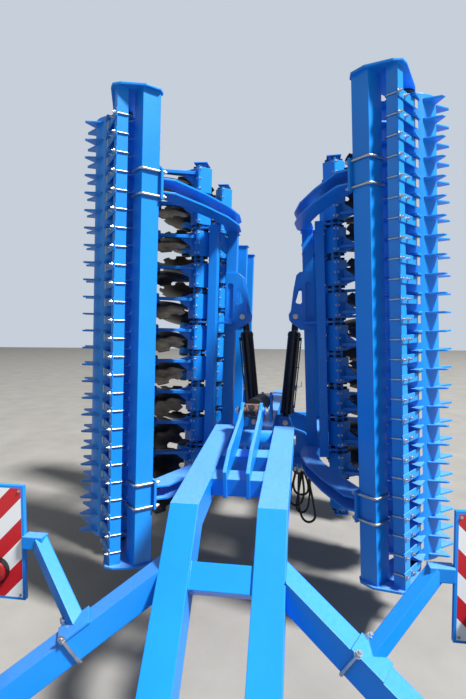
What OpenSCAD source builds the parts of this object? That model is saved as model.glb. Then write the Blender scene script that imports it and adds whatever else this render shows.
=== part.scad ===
// Trailed compact disc harrow, 6 m, with both wings folded up as it travels and parks.
// Y runs forward from the axle, X to the right, Z up from the ground.

/* [Wheels and axle] */
// Outer diameter of the tyre
tyre_d = 874; // [780:1:900]
// Width of the tyre
tyre_w = 400; // [300:1:440]
// Diameter of the rim
rim_d = 394; // [350:1:440]
// Distance between the wheels' middles
track = 2600; // [2560:1:2700]
// Side of the square axle tube
axle_side = 120; // [100:1:140]
// Diameter of each stub axle
stub_d = 70; // [50:1:90]
// Running clearance of a turning bore
run_gap = 0.08; // [0.05:0.01:0.1]

/* [Carriage] */
// Width of each long carriage beam
beam_w = 140; // [110:1:150]
// Depth of each long carriage beam
beam_h = 140; // [110:1:150]
// Middle of each long beam, out from the centre line
beam_x = 210; // [190:1:240]
// Distance from the axle forward to the carriage pivot
pivot_y = 1690; // [1600:1:1720]
// Height of the carriage pivot
pivot_z = 1325; // [1300:1:1340]
// Distance from the axle to the bend in the long beams
bend_y = 627; // [600:1:660]
// Height of the long beams' centre line at the bend
bend_z = 1201; // [1180:1:1220]
// Diameter of the pivot shaft
pivot_d = 70; // [50:1:80]
// Width of the main cross beam of the carriage
cross_w = 115; // [100:1:130]
// Depth of the main cross beam
cross_h = 116; // [90:1:130]
// Distance from the axle to the main cross beam
cross_y = 450; // [430:1:470]
// Width of the two cross tubes under the lugs
rung_w = 116; // [90:1:120]
// Depth of the two cross tubes under the lugs
rung_h = 95; // [80:1:110]
// Thickness of the two lugs that carry the lift cylinder
lug_t = 20; // [12:1:25]
// Middle of each lug, out from the centre line
lug_x = 62; // [55:1:68]
// Distance out to the end of the diagonals, from the centre line
brace_x = 1040; // [1000:1:1060]
// Width of the diagonal braces
brace_w = 110; // [90:1:120]

/* [Chassis] */
// Width of the spine beam
spine_w = 140; // [100:1:150]
// Depth of the spine beam
spine_h = 190; // [150:1:195]
// Underside of the spine beam above the ground
spine_z = 1050; // [1045:1:1060]
// Distance from the axle to the spine's front end
spine_end = 4520; // [4450:1:4600]
// Thickness of the hinge plates
hinge_t = 20; // [12:1:24]

/* [Fold] */
// Distance from the centre line to each fold hinge
hinge_x = 600; // [595:1:610]
// Height of the fold hinges
hinge_z = 970; // [965:1:990]
// Angle through which each wing is folded up
fold = 91.8; // [90:0.1:92]
// Diameter of the hinge pins
hinge_d = 50; // [40:1:60]
// Outer diameter of the fold cylinder barrels
barrel_d = 125; // [100:1:128]
// Diameter of the fold cylinder rods
rod_d = 60; // [45:1:70]
// Distance out to the lower pin of each fold cylinder
foot_x = 156; // [152:1:170]
// Height of the lower pin of each fold cylinder
foot_z = 1150; // [1140:1:1160]
// Diameter of the cylinder pins
pin_d = 40; // [30:1:45]

/* [Wing frame] */
// Length of the wing's cross beams
wing_len = 2050; // [2020:1:2080]
// Side of the three main cross beams of a wing
wing_side = 100; // [90:1:104]
// Height of the main cross beams above the hinge line
wing_z = 178; // [174:1:182]
// Width of the carrier beam over the rear disc row
carrier_h = 75; // [60:1:76]
// Height of the carrier beam above the hinge line
carrier_z = 75; // [73:1:78]
// Thickness of the end caps
cap_t = 10; // [6:1:14]

/* [Disc rows] */
// Distance from the axle to the rear row's tube
rear_y = 2640; // [2620:1:2660]
// Distance between the two rows
row_gap = 1120; // [1100:1:1140]
// Number of discs in each row
discs_in_row = 11; // [8:1:11]
// Distance between the discs of one row
pitch = 280; // [270:1:282]
// Middle of the first rear clamp shell, out from the hinge line
first_arm = -357; // [-362:1:-350]
// Height of the row tubes below the hinge line
row_drop = 60; // [58:1:66]
// Side of the square row tubes
row_side = 80; // [70:1:82]
// Diameter of the rubber cords
rubber_d = 36; // [32:1:38]
// Wall of the clamp shells
shell_t = 7; // [5:1:8]
// Length of the clamp shells
shell_len = 220; // [180:1:225]
// Length of rubber that shows at each end of a shell
cord_out = 20; // [8:1:21]
// Distance from a clamp shell's middle to its arm
arm_shift = 60; // [40:1:70]
// Thickness of a disc arm
disc_arm_t = 28; // [20:1:32]
// Drop from the row tube to the disc hub
hub_drop = 382; // [380:1:390]
// Distance the hub trails behind the row tube
hub_trail = 140; // [130:1:150]
// Diameter of the discs
disc_d = 610; // [560:1:614]
// Hollow depth of the discs
disc_dish = 62; // [50:1:70]
// Thickness of the discs
disc_t = 6; // [5:1:8]
// Angle of the discs to the direction of travel
disc_angle = 17; // [14:1:19]
// Number of notches round a disc
notches = 10; // [8:1:12]

/* [Toothed roller] */
// Diameter of the roller's drum
drum_d = 400; // [380:1:404]
// Length of the roller's drum
drum_len = 3080; // [3060:1:3100]
// Number of rings of teeth
rings = 25; // [18:1:25]
// Distance from each end of the drum to its last ring
ring_edge = 40; // [30:1:60]
// Number of teeth in a ring
teeth = 8; // [6:1:8]
// Height of a tooth
tooth_h = 90; // [70:1:92]
// Thickness of a tooth
tooth_t = 12; // [8:1:15]
// Length of the foot of a tooth
tooth_foot = 130; // [100:1:140]
// Distance from the axle to the roller's shaft
roller_y = 1890; // [1885:1:1900]
// Drop of the roller's shaft below the hinge line
roller_drop = 495; // [490:1:500]
// Side of the roller frame's main tube
main_side = 130; // [110:1:132]
// Side of the scraper bar
bar_side = 76; // [70:1:90]
// Turn of the scraper bar about its own length
bar_turn = 35; // [33:1:37]
// Width of a scraper
scraper_w = 55; // [40:1:60]
// Thickness of a scraper
scraper_t = 8; // [5:1:10]
// Gap from a scraper's hard edge to the drum
scraper_gap = 6; // [5.5:0.5:10]

/* [Drawbar] */
// Distance from the axle to the hitch swivel
hitch_y = 6350; // [6250:1:6450]
// Height of the hitch swivel
hitch_z = 640; // [600:1:680]
// Width of the drawbar
draw_w = 150; // [120:1:160]
// Distance between the lower link pins' shoulders
link_w = 825; // [780:1:860]
// Diameter of the lower link pins
link_d = 36.6; // [28:0.1:37]
// Length of the lower link pins
link_len = 90; // [80:1:110]
// Distance from the axle to the jack
jack_y = 5350; // [5250:1:5450]
// Side of the jack's outer tube
jack_side = 80; // [70:1:90]
// Diameter of the jack's foot plate
foot_d = 220; // [160:1:260]

/* [Lamps] */
// Side of the lamp bracket tubes
lamp_side = 60; // [50:1:70]
// Width of a striped board
board_w = 280; // [250:1:300]
// Height of a striped board
board_h = 560; // [420:1:580]

/* [Hidden] */
$fn = 48;

// Sides of the machine: right is +1, left is -1.
LEFT = -1;
RIGHT = 1;
over = 1;
seat_gap = 0.3;
press_gap = 0.05;
axle_z = tyre_d / 2;
wheel_front = tyre_d / 2;
eye_d = 110;
hitch_front = hitch_y + eye_d / 2;
mid_y = (hitch_front - wheel_front) / 2;

// Rows of discs, as [distance from the axle, first shell, hanger gaps, way the discs throw].
// Both wings throw the same way, so on a wing a row's way is that of its row times its side.
front_y = rear_y + row_gap;
ROWS = [
    [rear_y, first_arm, [1, 5, 8], 1],
    [front_y, first_arm + pitch / 2, [1, 5, 7], -1],
];
row_end = shell_len / 2 + 35;
row_span = (discs_in_row - 1) * pitch + 2 * row_end;
shell_in = (row_side / 2 + rubber_d / 2 * (1 + sqrt(2))) * sqrt(2);
shell_out = shell_in + 2 * shell_t;
shell_reach = shell_out / sqrt(2);

// Main cross beams of a wing, as distances from the axle.
fold_beam_y = rear_y + 400;
wing_front_y = front_y + 660;
BEAMS = [fold_beam_y, front_y, wing_front_y];
eye_w = 60;
ear_t = 16;
ear_gap = eye_w + 4;
ears_y = fold_beam_y + wing_side / 2 + ear_t + barrel_d / 2 + 6.5;
front_hinge_y = front_y + 290;

// Fold cylinder: its upper pin in wing coordinates, from the hinge line.
head_x = 1246;
head_z = 305;
head_rest_x = hinge_x + head_x * cos(fold) - head_z * sin(fold);
head_rest_z = hinge_z + head_x * sin(fold) + head_z * cos(fold);
fold_len = norm([head_rest_x - foot_x, head_rest_z - foot_z]);
fold_lean = atan2(head_rest_x - foot_x, head_rest_z - foot_z);
barrel_len = 900;
neck_len = 88;

// Lift cylinder between the lugs and the anchor on the spine.
lug_pin_y = pivot_y - 120;
lug_pin_z = pivot_z + 220;
anchor_y = pivot_y + 1100;
anchor_z = pivot_z + 125;
lift_len = norm([anchor_y - lug_pin_y, anchor_z - lug_pin_z]);
lift_tilt = atan2(anchor_z - lug_pin_z, anchor_y - lug_pin_y);
lift_d = 140;
lift_barrel_len = 700;

// Roller frame, in wing coordinates.
frame_in = -560;
plate_t = 15;
drum_gap = 95;
frame_len = drum_len + 2 * (plate_t + drum_gap);
ring_pitch = (drum_len - 2 * ring_edge) / (rings - 1);
main_y = 1600;
main_z = -205;
bar_y = 1530;
bar_z = -365;
roller_mid = frame_in + frame_len / 2;
tip_r = drum_d / 2 + tooth_h;
function ring_x(i) = roller_mid + (i - (rings - 1) / 2) * ring_pitch;
shaft_d = 60;
arm_t = 15;
arm_gap = 45;
arm_half = arm_gap + arm_t / 2;
clamp_t = 18;
clamp_h = 2 * (main_side / 2 + 30);
ARM_X = [-arm_half, wing_len + cap_t + arm_half];

module on_machine() { translate([0, -mid_y, 0]) children(); }
module each_side() { for (side = [LEFT, RIGHT]) scale_side(side) children(); }
module scale_side(side) { if (side < 0) mirror([1, 0, 0]) children(); else children(); }

// Puts a wing piece, drawn in its working place about the hinge line, on its folded wing.
module on_wing(side) {
    on_machine() scale_side(side) translate([hinge_x, 0, hinge_z])
        rotate([0, -fold, 0]) children();
}

// A box beam between two points of the YZ plane, its middle at distance x.
module beam_yz(x, from, to, w, h) {
    run = to - from;
    translate([x, from[0], from[1]]) rotate([atan2(run[1], run[0]), 0, 0])
        translate([-w / 2, 0, -h / 2]) cube([w, norm(run), h]);
}

// A plate in the XZ plane, its outline given as [x, z], from y forward by t.
module plate_xz(outline, y, t) {
    translate([0, y + t, 0]) rotate([90, 0, 0]) linear_extrude(t) polygon(outline);
}

// A plate in the YZ plane, its outline given as [y, z], from x outward by t.
module plate_yz(outline, x, t) {
    translate([x, 0, 0]) rotate([90, 0, 90]) linear_extrude(t) polygon(outline);
}

module rod_x(d, from, to) { translate([from, 0, 0]) rotate([0, 90, 0]) cylinder(d = d, h = to - from); }
module rod_y(d, from, to) { translate([0, from, 0]) rotate([-90, 0, 0]) cylinder(d = d, h = to - from); }

// Wheels and axle.

stub_end = track / 2 + 60;
hub_in = track / 2 - 150;

module axle() {
    color("dodgerblue") on_machine() translate([0, 0, axle_z]) {
        translate([-hub_in + 20, -axle_side / 2, -axle_side / 2])
            cube([2 * (hub_in - 20), axle_side, axle_side]);
        each_side() {
            rod_x(stub_d + 40, hub_in - 21, hub_in - seat_gap);
            rod_x(stub_d, hub_in - 21, stub_end);
        }
    }
}

module tyre(side) {
    half = tyre_w / 2;
    bead = rim_d / 2;
    crown = tyre_d / 2;
    on_machine() translate([side * track / 2, 0, axle_z]) rotate([0, 90, 0])
        rotate_extrude() polygon([
            [bead, -half + 35], [bead + 40, -half + 12], [bead + 110, -half],
            [crown - 45, -half + 14], [crown - 12, -half + 42], [crown, -half + 90],
            [crown, half - 90], [crown - 12, half - 42], [crown - 45, half - 14],
            [bead + 110, half], [bead + 40, half - 12], [bead, half - 35],
        ]);
}

module rim(side) {
    half = tyre_w / 2 - 30;
    bead = rim_d / 2 - seat_gap;
    on_machine() scale_side(side) translate([0, 0, axle_z]) difference() {
        translate([track / 2, 0, 0]) rotate([0, 90, 0]) rotate_extrude() polygon([
            [stub_d / 2 + run_gap, -150], [80, -150], [80, 28], [bead - 14, 40],
            [bead - 14, 0], [bead - 30, -half + 20], [bead - 20, -half], [bead + 0, -half],
            [bead, half], [bead - 12, half], [bead - 22, 62], [80, 52], [80, 78],
            [stub_d / 2 + run_gap, 78],
        ]);
    }
}

module tyre_left() { color("dimgray") tyre(LEFT); }
module tyre_right() { color("dimgray") tyre(RIGHT); }
module rim_left() { color("silver") rim(LEFT); }
module rim_right() { color("silver") rim(RIGHT); }

// Carriage.

beam_end = [pivot_y + 75, pivot_z + 24];
low_tilt = atan2(bend_z - axle_z, bend_y);
tilt_top = atan2(beam_end[1] - bend_z, beam_end[0] - bend_y);
function low_z(y) = axle_z + y * tan(low_tilt);
function beam_z(y) = bend_z + (y - bend_y) * tan(tilt_top);

// Each long beam rises from the front of the axle to its bend, and runs on almost level.
module carriage_beams() {
    seat = axle_side / 2;
    v = beam_h / 2 / cos(tilt_top);
    low_v = beam_h / 2 / cos(low_tilt);
    mid = (low_tilt + tilt_top) / 2;
    mitre = beam_h / 2 / cos((low_tilt - tilt_top) / 2);
    color("dodgerblue") on_machine() each_side() difference() {
        plate_yz([
            [(seat - low_v) / tan(low_tilt), axle_z + seat], [seat, axle_z + seat],
            [seat, low_z(seat) - low_v], [bend_y + mitre * sin(mid), bend_z - mitre * cos(mid)],
            [beam_end[0] + 10, beam_end[1] - v + 10], [beam_end[0] - 25, beam_end[1] + v - 12],
            [bend_y - mitre * sin(mid), bend_z + mitre * cos(mid)],
        ], beam_x - beam_w / 2, beam_w);
        translate([0, pivot_y, pivot_z])
            rod_x(pivot_d + 2 * run_gap, beam_x - beam_w / 2 - over, beam_x + beam_w / 2 + over);
    }
}

inner_w = 2 * (beam_x - beam_w / 2);
RUNGS = [940, 1245];
rung_top = beam_h / 2 - 5;

// A point near a rung, by its distance along the upper beams and above their middle line.
function at_rung(y, along, up) =
    [y + along * cos(tilt_top) - up * sin(tilt_top), beam_z(y) + along * sin(tilt_top) + up * cos(tilt_top)];

module carriage_cross() {
    color("dodgerblue") on_machine() {
        translate([0, cross_y, low_z(cross_y)]) rotate([low_tilt, 0, 0])
            cube([inner_w, cross_w, cross_h], center = true);
        for (y = RUNGS) translate([0, y, beam_z(y)]) rotate([tilt_top, 0, 0])
            translate([-inner_w / 2, -rung_w / 2, rung_top - rung_h]) cube([inner_w, rung_w, rung_h]);
    }
}

// Two long lugs lie on the rungs, hook over the rear one and hold the lift cylinder's eye.
module carriage_lugs() {
    hook = -rung_w / 2 - seat_gap;
    color("deepskyblue") on_machine() {
        each_side() difference() {
            plate_yz([
                at_rung(RUNGS[0], hook - 24, rung_top - rung_h), at_rung(RUNGS[0], hook, rung_top - rung_h),
                at_rung(RUNGS[0], hook, rung_top + seat_gap), at_rung(RUNGS[1], rung_w / 2 + 10, rung_top + seat_gap),
                [lug_pin_y + 52, lug_pin_z - 60], [lug_pin_y + 52, lug_pin_z + 18],
                [lug_pin_y + 20, lug_pin_z + 50], [lug_pin_y - 20, lug_pin_z + 50],
                [lug_pin_y - 56, lug_pin_z + 14], [lug_pin_y - 165, lug_pin_z - 29],
                at_rung(RUNGS[0] + 84, 0, rung_top + 110), at_rung(RUNGS[0], hook - 24, rung_top + 50),
            ], lug_x - lug_t / 2, lug_t);
            translate([0, lug_pin_y, lug_pin_z]) rod_x(pin_d, lug_x - lug_t, lug_x + lug_t);
        }
        translate([0, lug_pin_y, lug_pin_z]) {
            rod_x(pin_d, -lug_x - lug_t / 2 - 18, lug_x + lug_t / 2 + 18);
            rod_x(pin_d + 14, lug_x + lug_t / 2, lug_x + lug_t / 2 + 8);
        }
    }
}

// Turns its children along a diagonal, about a point of the diagonal's middle line.
module on_brace(at) {
    translate(at) rotate([0, 0, atan2(brace_run[1], brace_run[0])])
        rotate([0, atan2(-brace_run[2], norm([brace_run[0], brace_run[1]])), 0]) children();
}

// Diagonals from the long beams, level with the main cross beam, out to the axle's ends.
module braces() {
    color("dodgerblue") on_machine() each_side() difference() {
        on_brace(brace_from) translate([-90, -brace_w / 2, -brace_w / 2])
            cube([norm(brace_run) + 150, brace_w, brace_w]);
        translate([-over, -1000, 0]) cube([brace_from[0] + over, 3000, 2000]);
        translate([0, -1000 + axle_side / 2, 0]) cube([2000, 1000, 2000]);
    }
}

// Lamp brackets: a clamp plate on each diagonal, an upright and an outward arm.
brace_from = [beam_x + beam_w / 2, cross_y, low_z(cross_y)];
brace_to = [brace_x, axle_side / 2 + 20, axle_z + 30];
brace_run = brace_to - brace_from;
lamp_foot = brace_from + 0.41 * brace_run;
lamp_knee = [903, 491, 1078];
lamp_tip = [945, 491, 1078];

module bar_between(a, b, side, extra) {
    run = b - a;
    flat = norm([run[0], run[1]]);
    translate(a) rotate([0, 0, atan2(run[1], run[0])]) rotate([0, atan2(-run[2], flat), 0])
        translate([-extra, -side / 2, -side / 2]) cube([norm(run) + 2 * extra, side, side]);
}

module lamp_arms() {
    top = brace_w / 2;
    color("dodgerblue") on_machine() each_side() {
        difference() {
            bar_between(lamp_foot, lamp_knee, lamp_side, 0);
            on_brace(lamp_foot) translate([-200, -150, -200]) cube([400, 300, 200 + top]);
        }
        on_brace(lamp_foot) translate([-75, -60, top]) cube([150, 120, 10]);
        bar_between(lamp_knee, lamp_tip, lamp_side, lamp_side / 2);
    }
}

module lamp_boards() {
    color("white") on_machine() each_side()
        translate([lamp_tip[0] + lamp_side / 2, lamp_tip[1] - 12, lamp_tip[2] - board_h * 0.52])
            cube([board_w, 24, board_h]);
}

// Chassis.

module pivot_shaft() {
    color("gray") on_machine() translate([0, pivot_y, pivot_z])
        rod_x(pivot_d, -beam_x - beam_w / 2 - 12, beam_x + beam_w / 2 + 12);
}

spine_back = pivot_y - 70;
neck_w = inner_w - 10;

module spine() {
    color("royalblue") on_machine() {
        translate([-spine_w / 2, spine_back + 60, spine_z]) cube([spine_w, spine_end - spine_back - 60, spine_h]);
        difference() {
            union() {
                translate([0, pivot_y, pivot_z]) rod_x(pivot_d + 50, -neck_w / 2, neck_w / 2);
                for (x = [-spine_w / 2, spine_w / 2 - 20])
                    plate_yz([
                        [pivot_y - 40, spine_z + 40], [pivot_y + 330, spine_z + spine_h - over],
                        [pivot_y + 330, spine_z + spine_h + 30], [pivot_y + 60, pivot_z + 30],
                        [pivot_y - 50, pivot_z],
                    ], x, 20);
            }
            translate([0, pivot_y, pivot_z]) rod_x(pivot_d, -neck_w, neck_w);
        }
        for (x = [-50, 30]) difference() {
            plate_yz([
                [anchor_y - 90, spine_z + spine_h], [anchor_y + 130, spine_z + spine_h],
                [anchor_y + 48, anchor_z + 20], [anchor_y + 20, anchor_z + 48],
                [anchor_y - 20, anchor_z + 48], [anchor_y - 48, anchor_z + 20],
            ], x, 20);
            translate([0, anchor_y, anchor_z]) rod_x(pin_d, x - over, x + 20 + over);
        }
        each_side() translate([0, anchor_y, anchor_z]) {
            rod_x(pin_d, 30, 52);
            rod_x(pin_d + 14, 50, 60);
        }
    }
}

// A hinge plate reaches from the spine down and out to the hinge pin of one side.
module hinge_plate(y, holds_foot) {
    r = hinge_d / 2 + 26;
    difference() {
        union() {
            plate_xz([
                [spine_w / 2, foot_z + 55], [foot_x - 40, foot_z + 68], [foot_x + 30, foot_z + 55],
                [foot_x + 56, foot_z + 10], [foot_x + 70, foot_z - 65], [foot_x + 190, hinge_z + 75],
                [420, hinge_z + 12], [hinge_x, hinge_z + 12], [hinge_x, hinge_z - r],
                [hinge_x - 60, hinge_z - r - 30], [430, 660], [410, 630], [260, 630], [240, 660], [spine_w / 2, spine_z - 90],
            ], y, hinge_t);
            translate([hinge_x, 0, hinge_z]) rod_y(2 * r, y, y + hinge_t);
        }
        translate([hinge_x, 0, hinge_z]) rod_y(hinge_d, y - over, y + hinge_t + over);
        if (holds_foot) translate([foot_x, 0, foot_z]) rod_y(pin_d, y - over, y + hinge_t + over);
    }
}

module hinge_pair(y, holds_foot) {
    gap = ear_gap / 2 + 2;
    hinge_plate(y - gap - hinge_t, holds_foot);
    hinge_plate(y + gap, holds_foot);
}

module rear_hinge_plates() {
    color("royalblue") on_machine() each_side() hinge_pair(ears_y, true);
}

module front_hinge_plates() {
    color("royalblue") on_machine() each_side() hinge_pair(front_hinge_y, false);
}

module hinge_pins() {
    reach = ear_gap / 2 + 2 + hinge_t;
    color("silver") on_machine() each_side() {
        for (y = [ears_y, front_hinge_y]) translate([hinge_x, y, hinge_z]) {
            rod_y(hinge_d, -reach, reach);
            for (s = [-1, 1]) translate([0, s * (reach + 4), 0]) rod_y(hinge_d + 14, -4, 4);
        }
        translate([foot_x, ears_y, foot_z]) {
            rod_y(pin_d, -reach, reach);
            for (s = [-1, 1]) translate([0, s * (reach + 4), 0]) rod_y(pin_d + 14, -4, 4);
        }
    }
}

// Drawbar, jack and hitch.

draw_start = [spine_end, spine_z + spine_h / 2];
draw_knee = [spine_end + 350, spine_z + spine_h / 2];
draw_tip = [hitch_y - 235, hitch_z];

module drawbar() {
    h = spine_h / 2 - 5;
    color("dodgerblue") on_machine() difference() {
        union() {
            plate_yz([
                [draw_start[0], draw_start[1] - h], [draw_knee[0] - 30, draw_knee[1] - h],
                [draw_tip[0] - 40, draw_tip[1] - 60], [draw_tip[0], draw_tip[1] - 60],
                [draw_tip[0], draw_tip[1] + 60], [draw_knee[0] + 30, draw_knee[1] + h],
                [draw_start[0], draw_start[1] + h],
            ], -draw_w / 2, draw_w);
            translate([-draw_w / 2 - 20, draw_start[0], draw_start[1] - h - 5])
                cube([draw_w + 40, 20, 2 * h + 10]);
            for (z = [-75, 50]) translate([0, 0, hitch_z + z]) {
                translate([-eye_d / 2, draw_tip[0] - 30, 0]) cube([eye_d, hitch_y - draw_tip[0] + 30, 25]);
                translate([0, hitch_y, 0]) cylinder(d = eye_d, h = 25);
            }
        }
        translate([0, hitch_y, hitch_z - 100]) cylinder(d = pin_d + 2 * run_gap, h = 200);
    }
}

hitch_half = link_w / 2;

module hitch_bar() {
    color("dodgerblue") on_machine() translate([0, hitch_y, hitch_z]) {
        cylinder(d = 100, h = 90, center = true);
        cylinder(d = pin_d, h = 170, center = true);
        translate([-hitch_half, -45, -40]) cube([2 * hitch_half, 90, 80]);
        each_side() rod_x(link_d, hitch_half - over, hitch_half + link_len);
    }
}

jack_x = draw_w / 2 + 30 + jack_side / 2;
jack_low = 420;
jack_top = 1180;
slide_gap = 0.25;

module jack_sleeve() {
    inner = jack_side - 12;
    color("dodgerblue") on_machine() {
        difference() {
            translate([jack_x - jack_side / 2, jack_y - jack_side / 2, jack_low])
                cube([jack_side, jack_side, jack_top - jack_low]);
            translate([jack_x - inner / 2, jack_y - inner / 2, jack_low - over])
                cube([inner, inner, jack_top - jack_low - 20]);
        }
        translate([draw_w / 2, jack_y - 70, 900]) cube([30, 140, 100]);
    }
}

module jack_leg() {
    inner = jack_side - 12 - 2 * slide_gap;
    color("silver") on_machine() {
        translate([jack_x - inner / 2, jack_y - inner / 2, 20]) cube([inner, inner, jack_top - 320]);
        translate([jack_x, jack_y, 0]) cylinder(d = foot_d, h = 20);
    }
}

// Hoses.

// A shelf behind the right hinge plates carries the stubs that the hose loops hang from.
carrier_y = ears_y - 190;
carrier_z0 = 800;
carrier_x = 240;
carrier_len = 210;
stub_len = 40;

// A loop that hangs between two stubs, as [out, along, down] points from the shelf's underside.
function hanging(from, to, along, down, swing, drift) = [
    [from, along, -stub_len], [from, along, -stub_len - 25], [from - 4, along, -0.32 * down],
    [from - swing + drift / 2, along, -0.68 * down], [from - swing * 0.6 + drift, along, -0.92 * down],
    [(from + to) / 2 + drift, along, -down],
    [to + swing * 0.6 + drift, along, -0.92 * down], [to + swing + drift / 2, along, -0.68 * down],
    [to + 4, along, -0.32 * down], [to, along, -stub_len - 25], [to, along, -stub_len],
];
LOOPS = [
    hanging(300, 395, -75, 560, 22, 45), hanging(262, 330, -35, 420, 30, -25),
    hanging(320, 400, 5, 500, 16, -30), hanging(270, 345, 45, 340, 34, 15),
];
hose_r = 11;
hose_sides = 8;
hose_steps = 2;

module hose_carrier() {
    color("royalblue") on_machine() {
        translate([carrier_x, carrier_y - 105, carrier_z0])
            cube([carrier_len, ears_y - ear_gap / 2 - 2 - hinge_t - seat_gap - carrier_y + 105, 12]);
        for (loop = LOOPS) for (end = [loop[0], loop[len(loop) - 1]])
            translate([end[0], carrier_y + end[1], carrier_z0 - stub_len]) cylinder(d = 30, h = stub_len);
    }
}

// A smooth curve through the points of a loop, with hose_steps rings to each stretch.
function curve(p, i, t) =
    let (a = p[max(i - 1, 0)], b = p[i], c = p[i + 1], d = p[min(i + 2, len(p) - 1)])
    0.5 * (2 * b + (c - a) * t + (2 * a - 5 * b + 4 * c - d) * t * t + (3 * b - a - 3 * c + d) * t * t * t);
function smooth(p) = concat(
    [for (i = [0:len(p) - 2]) for (k = [0:hose_steps - 1]) curve(p, i, k / hose_steps)], [p[len(p) - 1]]);

// Sweeps a round tube through points, one ring to a point. Its ends lie flat on the stubs.
module swept(points, r) {
    n = len(points);
    rings = [for (i = [0:n - 1])
        let (a = points[max(i - 1, 0)], b = points[min(i + 1, n - 1)],
             d = i == 0 ? [0, 0, -1] : i == n - 1 ? [0, 0, 1] : (b - a) / norm(b - a),
             u = cross(d, [1, 0, 0.2]) / norm(cross(d, [1, 0, 0.2])), v = cross(d, u))
        [for (k = [0:hose_sides - 1]) points[i] + r * (cos(360 * k / hose_sides) * u + sin(360 * k / hose_sides) * v)]];
    verts = [for (ring = rings) for (p = ring) p];
    sides = [for (i = [0:n - 2]) for (k = [0:hose_sides - 1])
        [i * hose_sides + k, i * hose_sides + (k + 1) % hose_sides,
         (i + 1) * hose_sides + (k + 1) % hose_sides, (i + 1) * hose_sides + k]];
    ends = [[for (k = [hose_sides - 1:-1:0]) k], [for (k = [0:hose_sides - 1]) (n - 1) * hose_sides + k]];
    polyhedron(points = verts, faces = concat(sides, ends), convexity = 10);
}

module hose_loops() {
    color("black") on_machine() translate([0, carrier_y, carrier_z0]) for (loop = LOOPS)
        swept(smooth(loop), hose_r);
}

// Lift cylinder.

module lift_place() {
    on_machine() translate([0, lug_pin_y, lug_pin_z]) rotate([lift_tilt, 0, 0]) children();
}

module lift_barrel() {
    color("black") lift_place() difference() {
        union() {
            rod_x(90, -lug_x + lug_t / 2 + 2, lug_x - lug_t / 2 - 2);
            rod_y(70, 0, 130);
            rod_y(lift_d, 105, lift_barrel_len);
        }
        rod_x(pin_d + 2 * run_gap, -200, 200);
        rod_y(rod_d + 2 * run_gap, 190, lift_barrel_len + over);
    }
}

module lift_rod() {
    color("silver") lift_place() {
        rod_y(rod_d, 420, lift_len - 20);
        translate([0, lift_len, 0]) rod_x(80, -28, 28);
    }
}

// Wings.

module wing_frame() {
    half = wing_side / 2;
    for (y = BEAMS) {
        translate([0, y - half, wing_z - half]) cube([wing_len, wing_side, wing_side]);
        translate([wing_len, y - half - 12, wing_z - half - 12])
            cube([cap_t, wing_side + 24, wing_side + 24]);
    }
    translate([0, rear_y - 60, carrier_z - carrier_h / 2]) cube([wing_len, 120, carrier_h]);
    // The front carrier sits under the middle beam, and side rails tie all beams together.
    translate([0, front_y - 60, carrier_z - carrier_h / 2]) cube([wing_len, 120, wing_z - half - carrier_z + carrier_h / 2 + over]);
    rail_top = wing_z - half + over;
    for (x = [50, wing_len - 130]) translate([x, rear_y + 60 - over, carrier_z - carrier_h / 2])
        cube([80, wing_front_y - rear_y - 60 + half, rail_top - carrier_z + carrier_h / 2]);
    mid = first_arm + 5.5 * pitch;
    translate([mid - 10, rear_y + 60 - over, carrier_z - carrier_h / 2])
        cube([20, fold_beam_y - half - ear_t - rear_y - 60 + over, wing_z + half - carrier_z + carrier_h / 2]);
    wing_lugs();
}

// Lugs of the wing that turn on the hinge pins, between the chassis plates.
module wing_lugs() {
    r = hinge_d / 2 + 24;
    for (y = [ears_y, front_hinge_y]) translate([0, y - ear_gap / 2, 0]) difference() {
        union() {
            rod_y(2 * r, 0, ear_gap);
            plate_xz([[0, r - 4], [60, carrier_z + 40], [110, carrier_z + 20], [110, carrier_z - 30], [30, -r + 8]],
                0, ear_gap);
        }
        rod_y(hinge_d + 2 * run_gap, -over, ear_gap + over);
    }
}

// Plates on the fold beam that take the upper pin of the fold cylinder.
module cylinder_ears() {
    low = wing_z + wing_side / 2;
    half = wing_side / 2;
    outline = [
        [head_x - 130, wing_z - half], [head_x - 130, low + 30], [head_x - 60, head_z + 40],
        [head_x - 30, head_z + 62], [head_x + 20, head_z + 66], [head_x + 60, head_z + 44],
        [head_x + 250, low + 92], [head_x + 395, low + 60], [head_x + 424, low + 25],
        [head_x + 424, wing_z - half],
    ];
    window = [
        [head_x + 118, low + 30], [head_x + 128, head_z - 12], [head_x + 150, head_z + 2],
        [head_x + 260, low + 44], [head_x + 266, low + 24], [head_x + 250, low + 14], [head_x + 134, low + 14],
    ];
    slot = [
        [head_x - 26, wing_z - 14], [head_x - 12, wing_z - 26], [head_x + 306, wing_z - 26],
        [head_x + 320, wing_z - 12], [head_x + 320, wing_z + 12], [head_x + 306, wing_z + 26],
        [head_x - 12, wing_z + 26], [head_x - 26, wing_z + 14],
    ];
    for (y = [fold_beam_y - half - ear_t, fold_beam_y + half, ears_y + ear_gap / 2]) difference() {
        plate_xz(outline, y, ear_t);
        plate_xz(window, y - over, ear_t + 2 * over);
        if (y < fold_beam_y) plate_xz(slot, y - over, ear_t + 2 * over);
        translate([head_x, 0, head_z]) rod_y(pin_d, y - over, y + ear_t + over);
    }
    tie_y = fold_beam_y + half + ear_t;
    translate([head_x - 130, tie_y, wing_z - half]) cube([40, ears_y + ear_gap / 2 - tie_y, 30]);
    translate([head_x + 350, tie_y, wing_z - half]) cube([40, ears_y + ear_gap / 2 - tie_y, wing_side]);
    translate([head_x, 0, head_z]) {
        rod_y(pin_d, fold_beam_y - half - 30, ears_y - ear_gap / 2 - seat_gap);
        rod_y(pin_d, ears_y + ear_gap / 2 + seat_gap, ears_y + ear_gap / 2 + 30);
    }
}

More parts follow.
